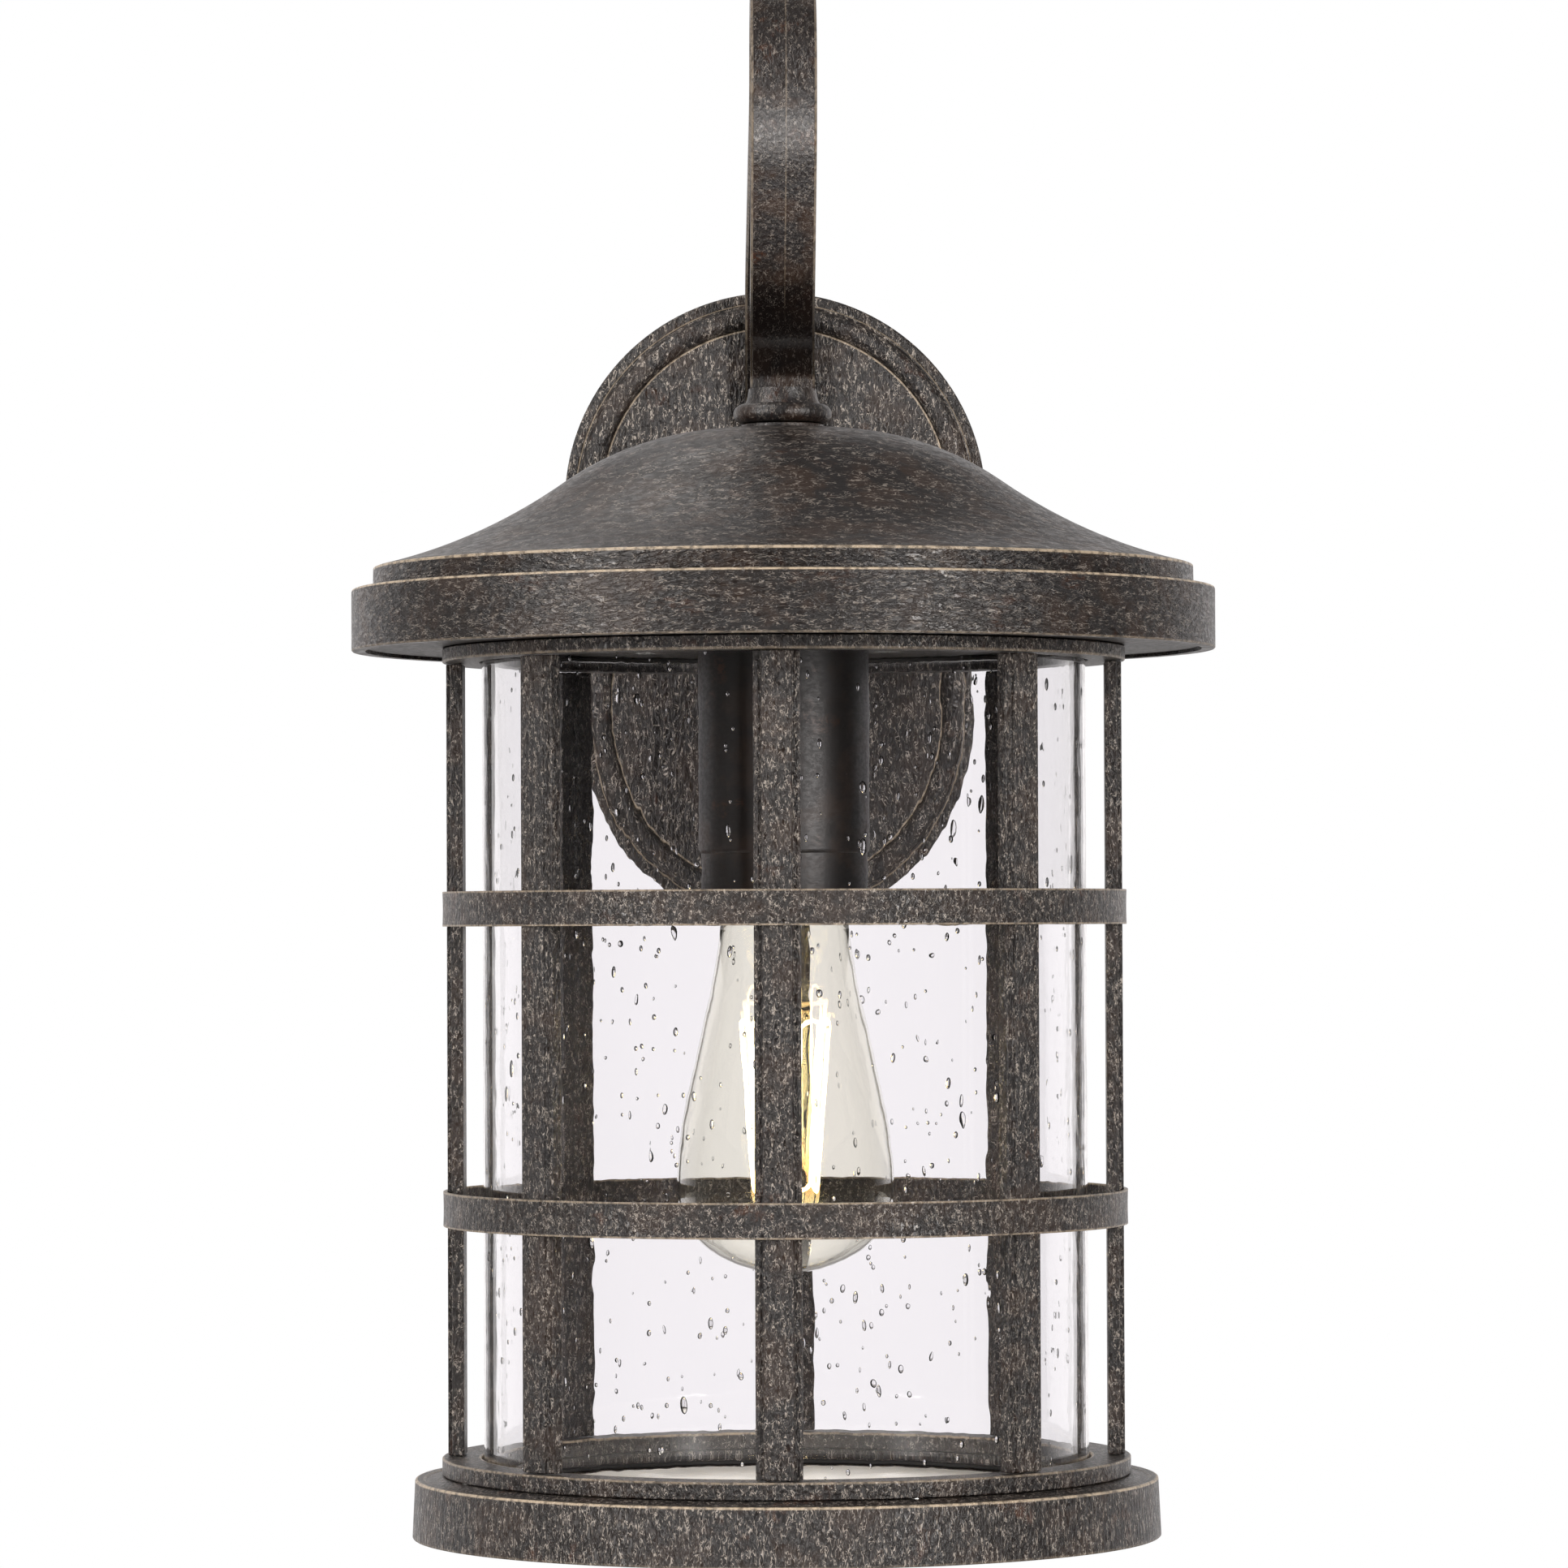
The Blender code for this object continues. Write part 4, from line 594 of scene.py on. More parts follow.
bead_radius = 14.5 * mm
bead_height = 5.6 * mm
flare_height = boss_top - boss_bottom - bead_height
bead_half = bead_height / 2
bead_arc = arc_points((bead_radius - bead_half, boss_bottom + bead_half), bead_half, -90, 90, 14)
flare_foot = 11.3 * mm
flare_in = 1.4 * mm
flare = []
for step in range(7):
    level = boss_bottom + bead_height + flare_height * step / 6
    flare.append((flare_foot - flare_in * sqrt(step / 6), level))
pipe_room = 5.1 * mm
boss_outline = [(pipe_room, boss_bottom)] + bead_arc + flare + [(0, boss_top), (0, boss_bottom + 9 * mm)]
boss_outline.append((pipe_room, boss_bottom + 9 * mm))
boss = lathe("boss", boss_outline, 96)
bpy.ops.object.select_all(action="DESELECT")
strap.select_set(True)
bpy.context.view_layer.objects.active = strap
bpy.ops.object.modifier_add(type="BOOLEAN")
strap.modifiers[-1].operation = "UNION"
strap.modifiers[-1].object = boss
bpy.ops.object.modifier_apply(modifier=strap.modifiers[-1].name)
bpy.data.objects.remove(boss, do_unlink=True)
soften(strap, 0.18 * mm, 2, 25)


def strap_lines(shade, x, y, z):
    """Pale lines painted on the strap's long edges and, fainter, down the parting line: painted highlights on
    the bevelled edges and the seam's crest, with some rubbed wear on the edges.
    """
    upper = z.ease(boss_top, boss_top + 2 * mm)
    seam_highlight = near(x, 0.6 * mm, 0.28 * mm) * z.ease(75 * mm, 85 * mm)
    return (0.24 * near(abs(x), strap_width / 2 - 0.35 * mm, 0.45 * mm) + 0.13 * seam_highlight) * upper


def strap_painted_shade(shade, x, y, z):
    """Low on the arm the coat is smooth, and painted darker there as shade."""
    return (1 - z.ease(78 * mm, 94 * mm)) * z.ease(boss_top + 2 * mm, boss_top + 5 * mm)


strap_grain = (950, 950, 480)
strap_coat = bronze_coat(
    "bronze_strap", strap_grain, 0.07 * mm, 0.26, 0.4, 0.22, wear_and_highlight_lines=strap_lines, painted_shade=strap_painted_shade
)
dress(strap, "fixture", "textured_bronze", strap_coat, "hook_arm")


# ---------------------------------------------------------------- collar
# A turned bronze washer on the lamp pipe, between the roof's crown and the boss.


def ring_piece(name, node, inner, steps=256, ease=0.4 * mm):
    """A flat ring of rectangular section in the place of a solid."""
    low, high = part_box(node)
    outer = (high.x - low.x) / 2
    outline = [(inner, low.z), (outer, low.z), (outer, high.z), (inner, high.z)]
    return soften(lathe(name, outline, steps), ease, 3)


collar = ring_piece("turned_collar", "collar_washer", pipe_room, 96, 0.3 * mm)
dress(collar, "fixture", "textured_bronze", nut_coat, "collar_washer")


# ---------------------------------------------------------------- roof
# Spun metal: a level crown, an ogee dome, a short upper tier and a deep fascia with an inturned lip. The dome
# is almost smooth; the tiers carry a leathery wrinkle that runs round them, with edges rubbed to gold, and
# the gold lines also stand in as painted edge highlights.

roof_wall = 2 * mm
fascia_wall = 4 * mm
fascia_radius = (axis_high.x - axis_low.x) / 2
tier_radius = fascia_radius - 6.4 * mm
fascia_top = -1.6 * mm
fascia_bottom = axis_low.z
roof_top = axis_high.z
dome_flat = 14.5 * mm
dome_steepest = radians(35)
dome_convex = 88 * mm
dome_concave = 160 * mm
dome_steps = 22


def dome_outline(offset):
    """The ogee from the crown's edge to the tier's rim, moved inwards by an offset."""
    points = []
    middle = (dome_flat, roof_top - dome_convex)
    for step in range(dome_steps + 1):
        slope = dome_steepest * step / dome_steps
        radius = dome_convex - offset
        points.append((middle[0] + radius * sin(slope), middle[1] + radius * cos(slope)))
    steep_radius = dome_flat + dome_convex * sin(dome_steepest)
    steep_height = roof_top - dome_convex * (1 - cos(dome_steepest))
    middle = (
        steep_radius + dome_concave * sin(dome_steepest),
        steep_height + dome_concave * cos(dome_steepest),
    )
    last = asin((middle[0] - tier_radius + 0.8 * mm) / dome_concave)
    for step in range(1, dome_steps + 1):
        slope = dome_steepest + (last - dome_steepest) * step / dome_steps
        radius = dome_concave + offset
        points.append((middle[0] - radius * sin(slope), middle[1] - radius * cos(slope)))
    return points


outer_dome = dome_outline(0)
tier_top = outer_dome[-1][1] - 0.5 * mm
roof_outline = [(pipe_room, roof_top)] + outer_dome
roof_outline += [
    (tier_radius - 0.15 * mm, tier_top + 0.25 * mm),
    (tier_radius, tier_top),
    (tier_radius + 0.1 * mm, fascia_top + 0.2 * mm),
    (fascia_radius - 0.8 * mm, fascia_top),
    (fascia_radius - 0.2 * mm, fascia_top - 0.25 * mm),
    (fascia_radius, fascia_top - 0.8 * mm),
    (fascia_radius, fascia_bottom + 0.3 * mm),
    (fascia_radius - 0.3 * mm, fascia_bottom),
    (fascia_radius - fascia_wall, fascia_bottom),
    (fascia_radius - fascia_wall, fascia_top - roof_wall),
    (tier_radius - roof_wall, fascia_top - roof_wall),
]
inner_dome = [point for point in dome_outline(roof_wall) if point[0] < tier_radius - 2.2 * roof_wall]
roof_outline.append((tier_radius - roof_wall, min(inner_dome[-1][1], tier_top - roof_wall)))
roof_outline += inner_dome[::-1] + [(pipe_room, roof_top - roof_wall)]
roof = lathe("ogee_roof", roof_outline, 256)
soften(roof, 0, sharp=30)


def from_axis(shade, x, y):
    """Distance from the lantern's axis."""
    off = y - axis_y
    return (x * x + off * off) ** 0.5


def circle_line(shade, x, y, z, radius, level, width):
    """A thin ring drawn round the axis at a radius and a level."""
    across = from_axis(shade, x, y) - radius
    down = z - level
    gap = (across * across + down * down) ** 0.5
    return 1 - gap.ease(0.5 * width, width)


# Gold lines at the fascia's edges and the tier's rim: rubbed wear and painted edge highlight.
def roof_lines(shade, x, y, z):
    upper = 0.85 * circle_line(shade, x, y, z, fascia_radius - 0.3 * mm, fascia_top - 0.15 * mm, 0.8 * mm)
    lower = 0.22 * circle_line(shade, x, y, z, fascia_radius, fascia_bottom + 0.1 * mm, 0.6 * mm)
    tier = 0.75 * circle_line(shade, x, y, z, tier_radius, tier_top + 0.1 * mm, 0.75 * mm)
    return upper + lower + tier


def dome_calm(shade, x, y, z):
    """The spun dome is smoother than the tiers."""
    return 0.72 * z.ease(tier_top - 0.2 * mm, tier_top + 1.5 * mm)


roof_coat = bronze_coat("bronze_roof", (280, 280, 900), 0.24 * mm, 0.28, 0.3, 0.3, roof_lines, dome_calm)
dress(roof, "fixture", "textured_bronze", roof_coat, "roof")


# ---------------------------------------------------------------- cage rings
# Two flat turned rings, above and below the bars, which steady the glass. Bronze, with edges worn pale, the
# pale lines also painted edge highlights.

ring_inner = 89.54 * mm
top_ring = ring_piece("top_ring", "cage_top_ring", ring_inner)
bottom_ring = ring_piece("bottom_ring", "cage_bottom_ring", ring_inner)
top_low, top_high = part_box("cage_top_ring")
low_low, low_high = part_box("cage_bottom_ring")
ring_outer = (top_high.x - top_low.x) / 2
low_ring_outer = (low_high.x - low_low.x) / 2


def top_ring_lines(shade, x, y, z):
    return 0.3 * circle_line(shade, x, y, z, ring_outer, top_low.z + 0.2 * mm, 0.7 * mm)


def low_ring_lines(shade, x, y, z):
    outer = 0.4 * circle_line(shade, x, y, z, low_ring_outer, low_high.z, 0.8 * mm)
    inner = 0.7 * circle_line(shade, x, y, z, ring_inner, low_high.z, 0.9 * mm)
    return outer + inner


ring_grain = (850, 850, 480)
top_ring_coat = bronze_coat("bronze_top_ring", ring_grain, 0.22 * mm, 0.27, 0.3, 0.55, wear_and_highlight_lines=top_ring_lines)
low_ring_coat = bronze_coat("bronze_low_ring", ring_grain, 0.22 * mm, 0.27, 0.3, 0.6, wear_and_highlight_lines=low_ring_lines)
dress(top_ring, "fixture", "textured_bronze", top_ring_coat, "cage_top_ring")
dress(bottom_ring, "fixture", "textured_bronze", low_ring_coat, "cage_bottom_ring")


# ---------------------------------------------------------------- cage bars
# Eight upright bars of stepped section, a narrow rib on a wider flange, welded between the two rings.

bar_count = 8
cage_turn = radians(-2.1)
bar_width = 13.2 * mm
rib_width = 8.6 * mm
bar_face = ring_outer - 1.2 * mm
rib_proud = 1.4 * mm
bar_depth = 4.9 * mm
bar_low, bar_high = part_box("cage_bar_1")
bar_outline = [
    (-bar_width / 2, bar_face - bar_depth),
    (bar_width / 2, bar_face - bar_depth),
    (bar_width / 2, bar_face - rib_proud),
    (rib_width / 2, bar_face - rib_proud),
    (rib_width / 2, bar_face),
    (-rib_width / 2, bar_face),
    (-rib_width / 2, bar_face - rib_proud),
    (-bar_width / 2, bar_face - rib_proud),
]
bar = draw_out("bar_1", [(x, -out, bar_low.z) for x, out in bar_outline])
push((0, 0, bar_high.z - bar_low.z))
bpy.ops.mesh.edge_face_add()
pick(bar, lambda place: abs(place.z - bar_low.z) < 0.01 * mm)
bpy.ops.mesh.edge_face_add()
close_up(bar)
soften(bar, 0.35 * mm, 3)
bar_coat = bronze_coat("bronze_bars", (880, 880, 420), 0.25 * mm, 0.26, 0.3, 0.6)
bars = [bar] + [copy_piece(bar, f"bar_{index + 1}") for index in range(1, bar_count)]
for index, piece in enumerate(bars):
    turn = cage_turn + 2 * pi * index / bar_count
    lay_down(piece, Matrix.Translation((0, axis_y, 0)) @ Matrix.Rotation(turn, 4, "Z"))
    dress(piece, "fixture", "textured_bronze", bar_coat, f"cage_bar_{index + 1}")


# ---------------------------------------------------------------- cage bands
# Two flat hoops round the bars, rolled slightly hollow and welded to the ribs; their edges catch the light.

band_inner = bar_face + 0.1 * mm
band_dish = 0.12 * mm
band_steps = 6
bands = {}
for label in ("upper", "lower"):
    low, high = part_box("cage_band_" + label)
    outer = (high.x - low.x) / 2
    rise = high.z - low.z
    face = []
    for step in range(band_steps + 1):
        share = step / band_steps
        face.append((outer - band_dish * sin(pi * share), low.z + rise * share))
    outline = [(band_inner, low.z)] + face + [(band_inner, high.z)]
    bands[label] = soften(lathe(label + "_band", outline, 256), 0.16 * mm, 2)

band_bottoms = [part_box("cage_band_" + label)[0].z for label in ("upper", "lower")]
band_rise = 10.2 * mm


# Painted highlights: pale lines painted along the top and bottom edge of each band.
def band_lines(shade, x, y, z):
    drawn = None
    for bottom in band_bottoms:
        for level in (bottom + 0.15 * mm, bottom + band_rise - 0.15 * mm):
            line = near(z, level, 0.5 * mm)
            drawn = line if drawn is None else drawn + line
    return 0.42 * drawn


band_coat = bronze_coat("bronze_bands", (800, 800, 560), 0.24 * mm, 0.26, 0.55, 0.55, wear_and_highlight_lines=band_lines)
for label, piece in bands.items():
    dress(piece, "fixture", "textured_bronze", band_coat, "cage_band_" + label)


# ---------------------------------------------------------------- glass cylinder
# Hand-blown seeded glass: a clear tube full of small drawn-out air bubbles, its walls gently wavy, held
# between two thin rubber rings.

glass_low, glass_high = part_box("glass_cylinder")
glass_radius = (glass_high.x - glass_low.x) / 2
glass_wall = 3.2 * mm
glass_levels = 40
glass_span = glass_high.z - glass_low.z
glass_inner = glass_radius - glass_wall
rim_round = 0.6 * mm
outer_wall = [(glass_radius, glass_low.z + rim_round)]
inner_wall = [(glass_inner, glass_low.z + rim_round)]
for step in range(glass_levels + 1):
    level = glass_low.z + 1.4 * mm + (glass_span - 2.8 * mm) * step / glass_levels
    outer_wall.append((glass_radius, level))
    inner_wall.append((glass_inner, level))
outer_wall.append((glass_radius, glass_high.z - rim_round))
inner_wall.append((glass_inner, glass_high.z - rim_round))
outer_rim = glass_radius - rim_round
inner_rim = glass_inner + rim_round
glass_outline = [(outer_rim, glass_low.z)] + outer_wall + [(outer_rim, glass_high.z)]
glass_outline += [(inner_rim, glass_high.z)] + inner_wall[::-1] + [(inner_rim, glass_low.z)]
glass = lathe("seeded_cylinder", glass_outline, 240)


def clear_glass(name, tint, wave, depth, rough=0.0):
    """Clear glass with its surface drawn into gentle waves of so many a metre."""
    material, shade, shader = new_finish(name)
    place, _x, _y, _z = axes_of(shade)
    broad = shade.noise(place, wave, 2.0, 0.5, 0.4)
    tone = shade.noise(place, (30, 30, 12), 2.0)
    paler = tuple(min(1.0, channel * 1.02) for channel in tint)
    color = shade.mix(tone, tint, paler)
    bump = shade.node("Bump", sockets={"Height": broad, "Strength": 1.0, "Distance": depth})
    feed(shade, shader, Base_Color=color, Roughness=rough, IOR=1.5, Transmission_Weight=1.0, Normal=bump)
    return material


seeded = clear_glass("seeded_clear_glass", (0.975, 0.97, 0.98), (85, 85, 45), 0.05 * mm)

bubble_count = 1150
bubble_least = 0.34 * mm
bubble_most = 0.84 * mm
random.seed(7)
bpy.ops.mesh.primitive_uv_sphere_add(segments=10, ring_count=7, radius=1, location=(0, 0, 0))
bubble = bpy.context.object
bubble_mesh = bubble.data
mesh = bmesh.new()
mesh.from_mesh(glass.data)
for index in range(bubble_count):
    size = bubble_least + (bubble_most - bubble_least) * random.random() ** 2
    if random.random() < 0.12:
        size *= 1.5
    long = size * (1.15 + 1.5 * random.random() ** 2)
    thick = 0.55 * size
    out = glass_radius - glass_wall / 2 + (random.random() - 0.5) * (glass_wall - 2 * thick - 0.5 * mm)
    turn = 2 * pi * random.random()
    level = glass_low.z + 3 * mm + (glass_span - 6 * mm) * random.random()
    lean_over = 0.25 * (random.random() - 0.5)
    place = Matrix.Translation((0, axis_y, level)) @ Matrix.Rotation(turn, 4, "Z")
    place = place @ Matrix.Translation((0, -out, 0)) @ Matrix.Rotation(lean_over, 4, "Y")
    place = place @ Matrix.Diagonal((size, thick, long, 1))
    before = len(mesh.verts)
    mesh.from_mesh(bubble_mesh)
    mesh.verts.ensure_lookup_table()
    added = mesh.verts[before:]
    bmesh.ops.transform(mesh, matrix=place, verts=added)
    bmesh.ops.reverse_faces(mesh, faces=list({face for vertex in added for face in vertex.link_faces}))
for face in mesh.faces:
    face.smooth = True
mesh.to_mesh(glass.data)
mesh.free()
bpy.data.objects.remove(bubble, do_unlink=True)
dress(glass, "fixture", "seeded_glass", seeded, "glass_cylinder")

for label in ("lower", "upper"):
    node = "glass_seal_" + label
    seal = ring_piece(label + "_seal", node, glass_radius - glass_wall, 192, 0.25 * mm)
    dress(seal, "fixture", "rubber", rubber, node)


# ---------------------------------------------------------------- base
# A cast ring under the cage: a ledge for the glass, a cove and a shoulder outside the ring, and a deep side
# that spreads a little to its foot. Dense upright wrinkles, warm brown in the cove, gold along the shoulder:
# rubbed wear that is also a painted edge highlight.

base_low, base_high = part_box("base_ring")
base_foot = (base_high.x - base_low.x) / 2
base_top = base_foot - 0.8 * mm
deck_top = base_high.z
base_edge = deck_top - 0.9 * mm
deck_bottom = deck_top - 7.4 * mm
ledge_top = deck_bottom + 3.1 * mm
ledge_inner = glass_radius - 4.8 * mm
lip = base_foot - 3.3 * mm
cove_start = low_ring_outer + 0.3 * mm
base_outline = [
    (ledge_inner, deck_bottom),
    (lip - 0.3 * mm, deck_bottom),
    (lip, base_low.z),
    (base_foot - 0.25 * mm, base_low.z),
    (base_foot, base_low.z + 0.25 * mm),
    (base_top, base_edge - 0.5 * mm),
    (base_top - 0.15 * mm, base_edge - 0.15 * mm),
    (base_top - 0.5 * mm, base_edge),
    (base_top - 2.5 * mm, base_edge),
    (base_top - 3.2 * mm, base_edge - 0.35 * mm),
    (cove_start + 2.6 * mm, deck_top - 0.95 * mm),
    (cove_start + 1.5 * mm, deck_top - 0.6 * mm),
    (cove_start, deck_top),
    (ring_inner, deck_top),
    (ring_inner, ledge_top),
    (ledge_inner, ledge_top),
]
base = soften(lathe("cast_base", base_outline, 288), 0.12 * mm, 2)


# Pale lines at the shoulder, the foot and the inner edge: rubbed wear and painted edge highlight.
def base_lines(shade, x, y, z):
    shoulder = 0.85 * circle_line(shade, x, y, z, base_top - 0.15 * mm, base_edge - 0.1 * mm, 0.8 * mm)
    foot = 0.15 * circle_line(shade, x, y, z, base_foot, base_low.z + 0.1 * mm, 0.8 * mm)
    inner = 0.3 * circle_line(shade, x, y, z, base_top - 2.8 * mm, base_edge, 0.6 * mm)
    return shoulder + foot + inner


base_coat = bronze_coat("bronze_base", (900, 900, 320), 0.25 * mm, 0.25, 0.6, 0.6, wear_and_highlight_lines=base_lines)
dress(base, "fixture", "textured_bronze", base_coat, "base_ring")


# ---------------------------------------------------------------- base pan and its thumb screws
# A pressed sheet floor, bronze outside, its upper face painted pale as a painted sheen, let down for changing
# the bulb. Three knurled brass screws hold it up.

pan_low, pan_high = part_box("base_pan")
pan_flange = (pan_high.x - pan_low.x) / 2
sheet = 1.2 * mm
dish = ledge_inner - 0.6 * mm
floor = pan_high.z
flange_top = pan_low.z + sheet
pan_outline = [
    (0, floor),
    (dish - 0.8 * mm, floor),
    (dish - 0.2 * mm, floor - 0.2 * mm),
    (dish, floor - 0.8 * mm),
    (dish, flange_top),
    (pan_flange, flange_top),
    (pan_flange, pan_low.z),
    (dish - sheet, pan_low.z),
    (dish - sheet, floor - sheet),
    (0, floor - sheet),
]
pan = soften(lathe("floor_pan", pan_outline, 192, closed=False), 0.15 * mm)
satin_coat = bronze_coat("satin_bronze_floor", (620, 620, 620), 0.02 * mm, 0.35, 0.1, 0.0)
painted_sheen_floor_coat, shade, shader = new_finish("painted_sheen_floor")
place, x, y, z = axes_of(shade)
inside = z.ease(floor - 0.9 * mm, floor - 0.5 * mm)
cloud = shade.noise(place, (45, 45, 45), 3.0, 0.6)
# Painted sheen: the pale colour on the floor's upper face stands in for a reflection on it.
pale_floor = shade.mix(cloud.ease(0.35, 0.65), (0.80, 0.775, 0.735), (0.70, 0.675, 0.63))
feed(shade, shader, Base_Color=shade.mix(inside, coat_brown, pale_floor), Roughness=0.42 - 0.1 * cloud)
dress(pan, "base_pan", "satin_bronze", painted_sheen_floor_coat, "base_pan")


def metal_finish(name, color, rough, grain=(700, 700, 700), depth=0.02 * mm, dull=0.45):
    """Bare or plated metal with fine marks and cloudy patches."""
    material, shade, shader = new_finish(name)
    place, _x, _y, _z = axes_of(shade)
    fine = shade.noise(place, grain, 3.0, 0.6)
    cloud = shade.noise(place, (90, 90, 90), 3.0, 0.6)
    darker = tuple(channel * dull for channel in color)
    tint = shade.mix(cloud.ease(0.35, 0.6), darker, color)
    bump = shade.node("Bump", sockets={"Height": fine, "Strength": 0.7, "Distance": depth})
    feed(shade, shader, Base_Color=tint, Roughness=rough + 0.2 * (1 - cloud), Metallic=1.0, Normal=bump)
    return material


brass = metal_finish("turned_brass", (0.72, 0.50, 0.21), 0.25)
thumb_radius = 5 * mm
thumb_head = 4.2 * mm
thumb_neck = 3.6 * mm
thumb_shank = 1.9 * mm
knurls = 28
knurl_depth = 0.35 * mm
thumb_low, thumb_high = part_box("thumb_screw_1")
thumb_length = thumb_high.z - thumb_low.z - thumb_head
thumb_outline = [
    (0, thumb_head - 0.25 * mm),
    (thumb_neck - 0.4 * mm, thumb_head - 0.25 * mm),
    (thumb_neck, thumb_head),
    (thumb_radius - 0.4 * mm, thumb_head),
    (thumb_radius, thumb_head - 0.4 * mm),
    (thumb_radius, 1.3 * mm),
    (thumb_radius - 0.4 * mm, 0.9 * mm),
    (thumb_neck, 0.6 * mm),
    (thumb_neck, 0),
    (thumb_shank, 0),
    (thumb_shank, -thumb_length),
    (0, -thumb_length),
]
thumb = lathe("thumb_screw_head_1", thumb_outline, 2 * knurls, closed=False, middle=0.0)
for vertex in thumb.data.vertices:
    off = hypot(vertex.co.x, vertex.co.y)
    if off < thumb_radius - 0.05 * mm:
        continue
    turn = Vector((vertex.co.x, vertex.co.y)).angle_signed(Vector((1, 0)))
    if round(knurls * turn / pi) % 2:
        vertex.co.x *= 1 - knurl_depth / off
        vertex.co.y *= 1 - knurl_depth / off
soften(thumb, 0.08 * mm, 1, 35)
thumbs = [thumb] + [copy_piece(thumb, f"thumb_screw_head_{index}") for index in (2, 3)]
for index, piece in enumerate(thumbs):
    name = f"thumb_screw_{index + 1}"
    low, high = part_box(name)
    place = Matrix.Translation(((low.x + high.x) / 2, (low.y + high.y) / 2, low.z + thumb_head))
    lay_down(piece, place @ Matrix.Rotation(pi, 4, "X"))
    dress(piece, name, "brass", brass, name)


# ---------------------------------------------------------------- socket cover
# A long drawn can over the lampholder, open below, its lower third a little narrower. Satin dark bronze.

cover_low, cover_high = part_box("socket_cover")
cover_radius = (cover_high.x - cover_low.x) / 2
cover_lower = cover_radius - 0.6 * mm
cover_wall = 1.1 * mm
cover_round = 1 * mm
cover_step = cover_high.z - 60.4 * mm
cover_outline = [
    (pipe_room, cover_high.z),
    (cover_radius - cover_round, cover_high.z),
    (cover_radius - 0.3 * cover_round, cover_high.z - 0.3 * cover_round),
    (cover_radius, cover_high.z - cover_round),
    (cover_radius, cover_step + 1.2 * mm),
    (cover_radius - 0.15 * mm, cover_step + 0.6 * mm),
    (cover_radius - 0.35 * mm, cover_step + 0.2 * mm),
    (cover_lower, cover_step),
    (cover_lower, cover_low.z + 0.5 * mm),
    (cover_lower - 0.15 * mm, cover_low.z + 0.15 * mm),
    (cover_lower - 0.5 * mm, cover_low.z),
    (cover_lower - cover_wall, cover_low.z),
    (cover_lower - cover_wall, cover_high.z - cover_wall),
    (pipe_room, cover_high.z - cover_wall),
]
cover = soften(lathe("socket_can", cover_outline, 128), 0)
cover_coat = bronze_coat("satin_bronze_can", (500, 500, 900), 0.012 * mm, 0.34, 0.5, 0.0)
dress(cover, "fixture", "satin_bronze", cover_coat, "socket_cover")


# ---------------------------------------------------------------- bulb
# A long pear-shaped filament lamp: faintly amber glass, a pressed glass stem, one glowing wire run up and
# down round it in ten legs, and a plated screw cap.

bulb_low, bulb_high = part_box("bulb_glass")
bulb_radius = (bulb_high.x - bulb_low.x) / 2
bulb_tip = bulb_low.z
bulb_neck_end = bulb_high.z
widest = bulb_tip + 24.2 * mm
shoulder = bulb_tip + 101 * mm
shoulder_radius = 19 * mm
neck_radius = 12.4 * mm
neck_straight = 4 * mm
bulb_wall = 0.7 * mm


def bulb_outline(offset):
    """The wall's outline from the tip up to the neck, moved inwards by an offset."""
    points = [(0, bulb_tip + offset)]
    for step in range(1, 19):
        angle = -pi / 2 + pi / 2 * step / 18
        height = widest + (widest - bulb_tip - offset) * sin(angle)
        points.append(((bulb_radius - offset) * cos(angle), height))
    for step in range(1, 21):
        share = step / 20
        ease = share * share * (2.4 - 1.4 * share)
        height = widest + (shoulder - widest) * share
        points.append((bulb_radius - offset - (bulb_radius - shoulder_radius) * ease, height))
    for step in range(1, 11):
        share = step / 10
        ease = (1 - cos(pi * share)) / 2
        radius = shoulder_radius + (neck_radius - shoulder_radius) * ease
        points.append((radius - offset, shoulder + (bulb_neck_end - neck_straight - shoulder) * share))
    points.append((neck_radius - offset, bulb_neck_end))
    return points


bulb = lathe("pear_bulb", bulb_outline(0) + bulb_outline(bulb_wall)[::-1], 128, closed=False)
soften(bulb, 0)
amber = clear_glass("amber_bulb_glass", (1.0, 0.985, 0.925), (40, 40, 25), 0.03 * mm)
dress(bulb, "bulb", "bulb_glass", amber, "bulb_glass")

stem_low, stem_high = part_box("bulb_stem")
press = bulb_tip + 86.3 * mm
stem_radius = 3.2 * mm
rod = 1.1 * mm
stem_outline = [
    (0, stem_high.z),
    (neck_radius - 1.4 * mm, stem_high.z),
    (1.8 * stem_radius, stem_high.z - 2 * stem_radius),
    (1.2 * stem_radius, press + 2 * stem_radius),
    (stem_radius, press),
    (rod, press - stem_radius),
    (rod, stem_low.z + rod),
    (0.7 * rod, stem_low.z + 0.3 * rod),
    (0, stem_low.z),
]
stem = soften(lathe("pressed_stem", stem_outline, 48, closed=False), 0)
clear = clear_glass("clear_stem_glass", (0.96, 0.95, 0.92), (200, 200, 60), 0.02 * mm)
dress(stem, "bulb", "seeded_glass", clear, "bulb_stem")

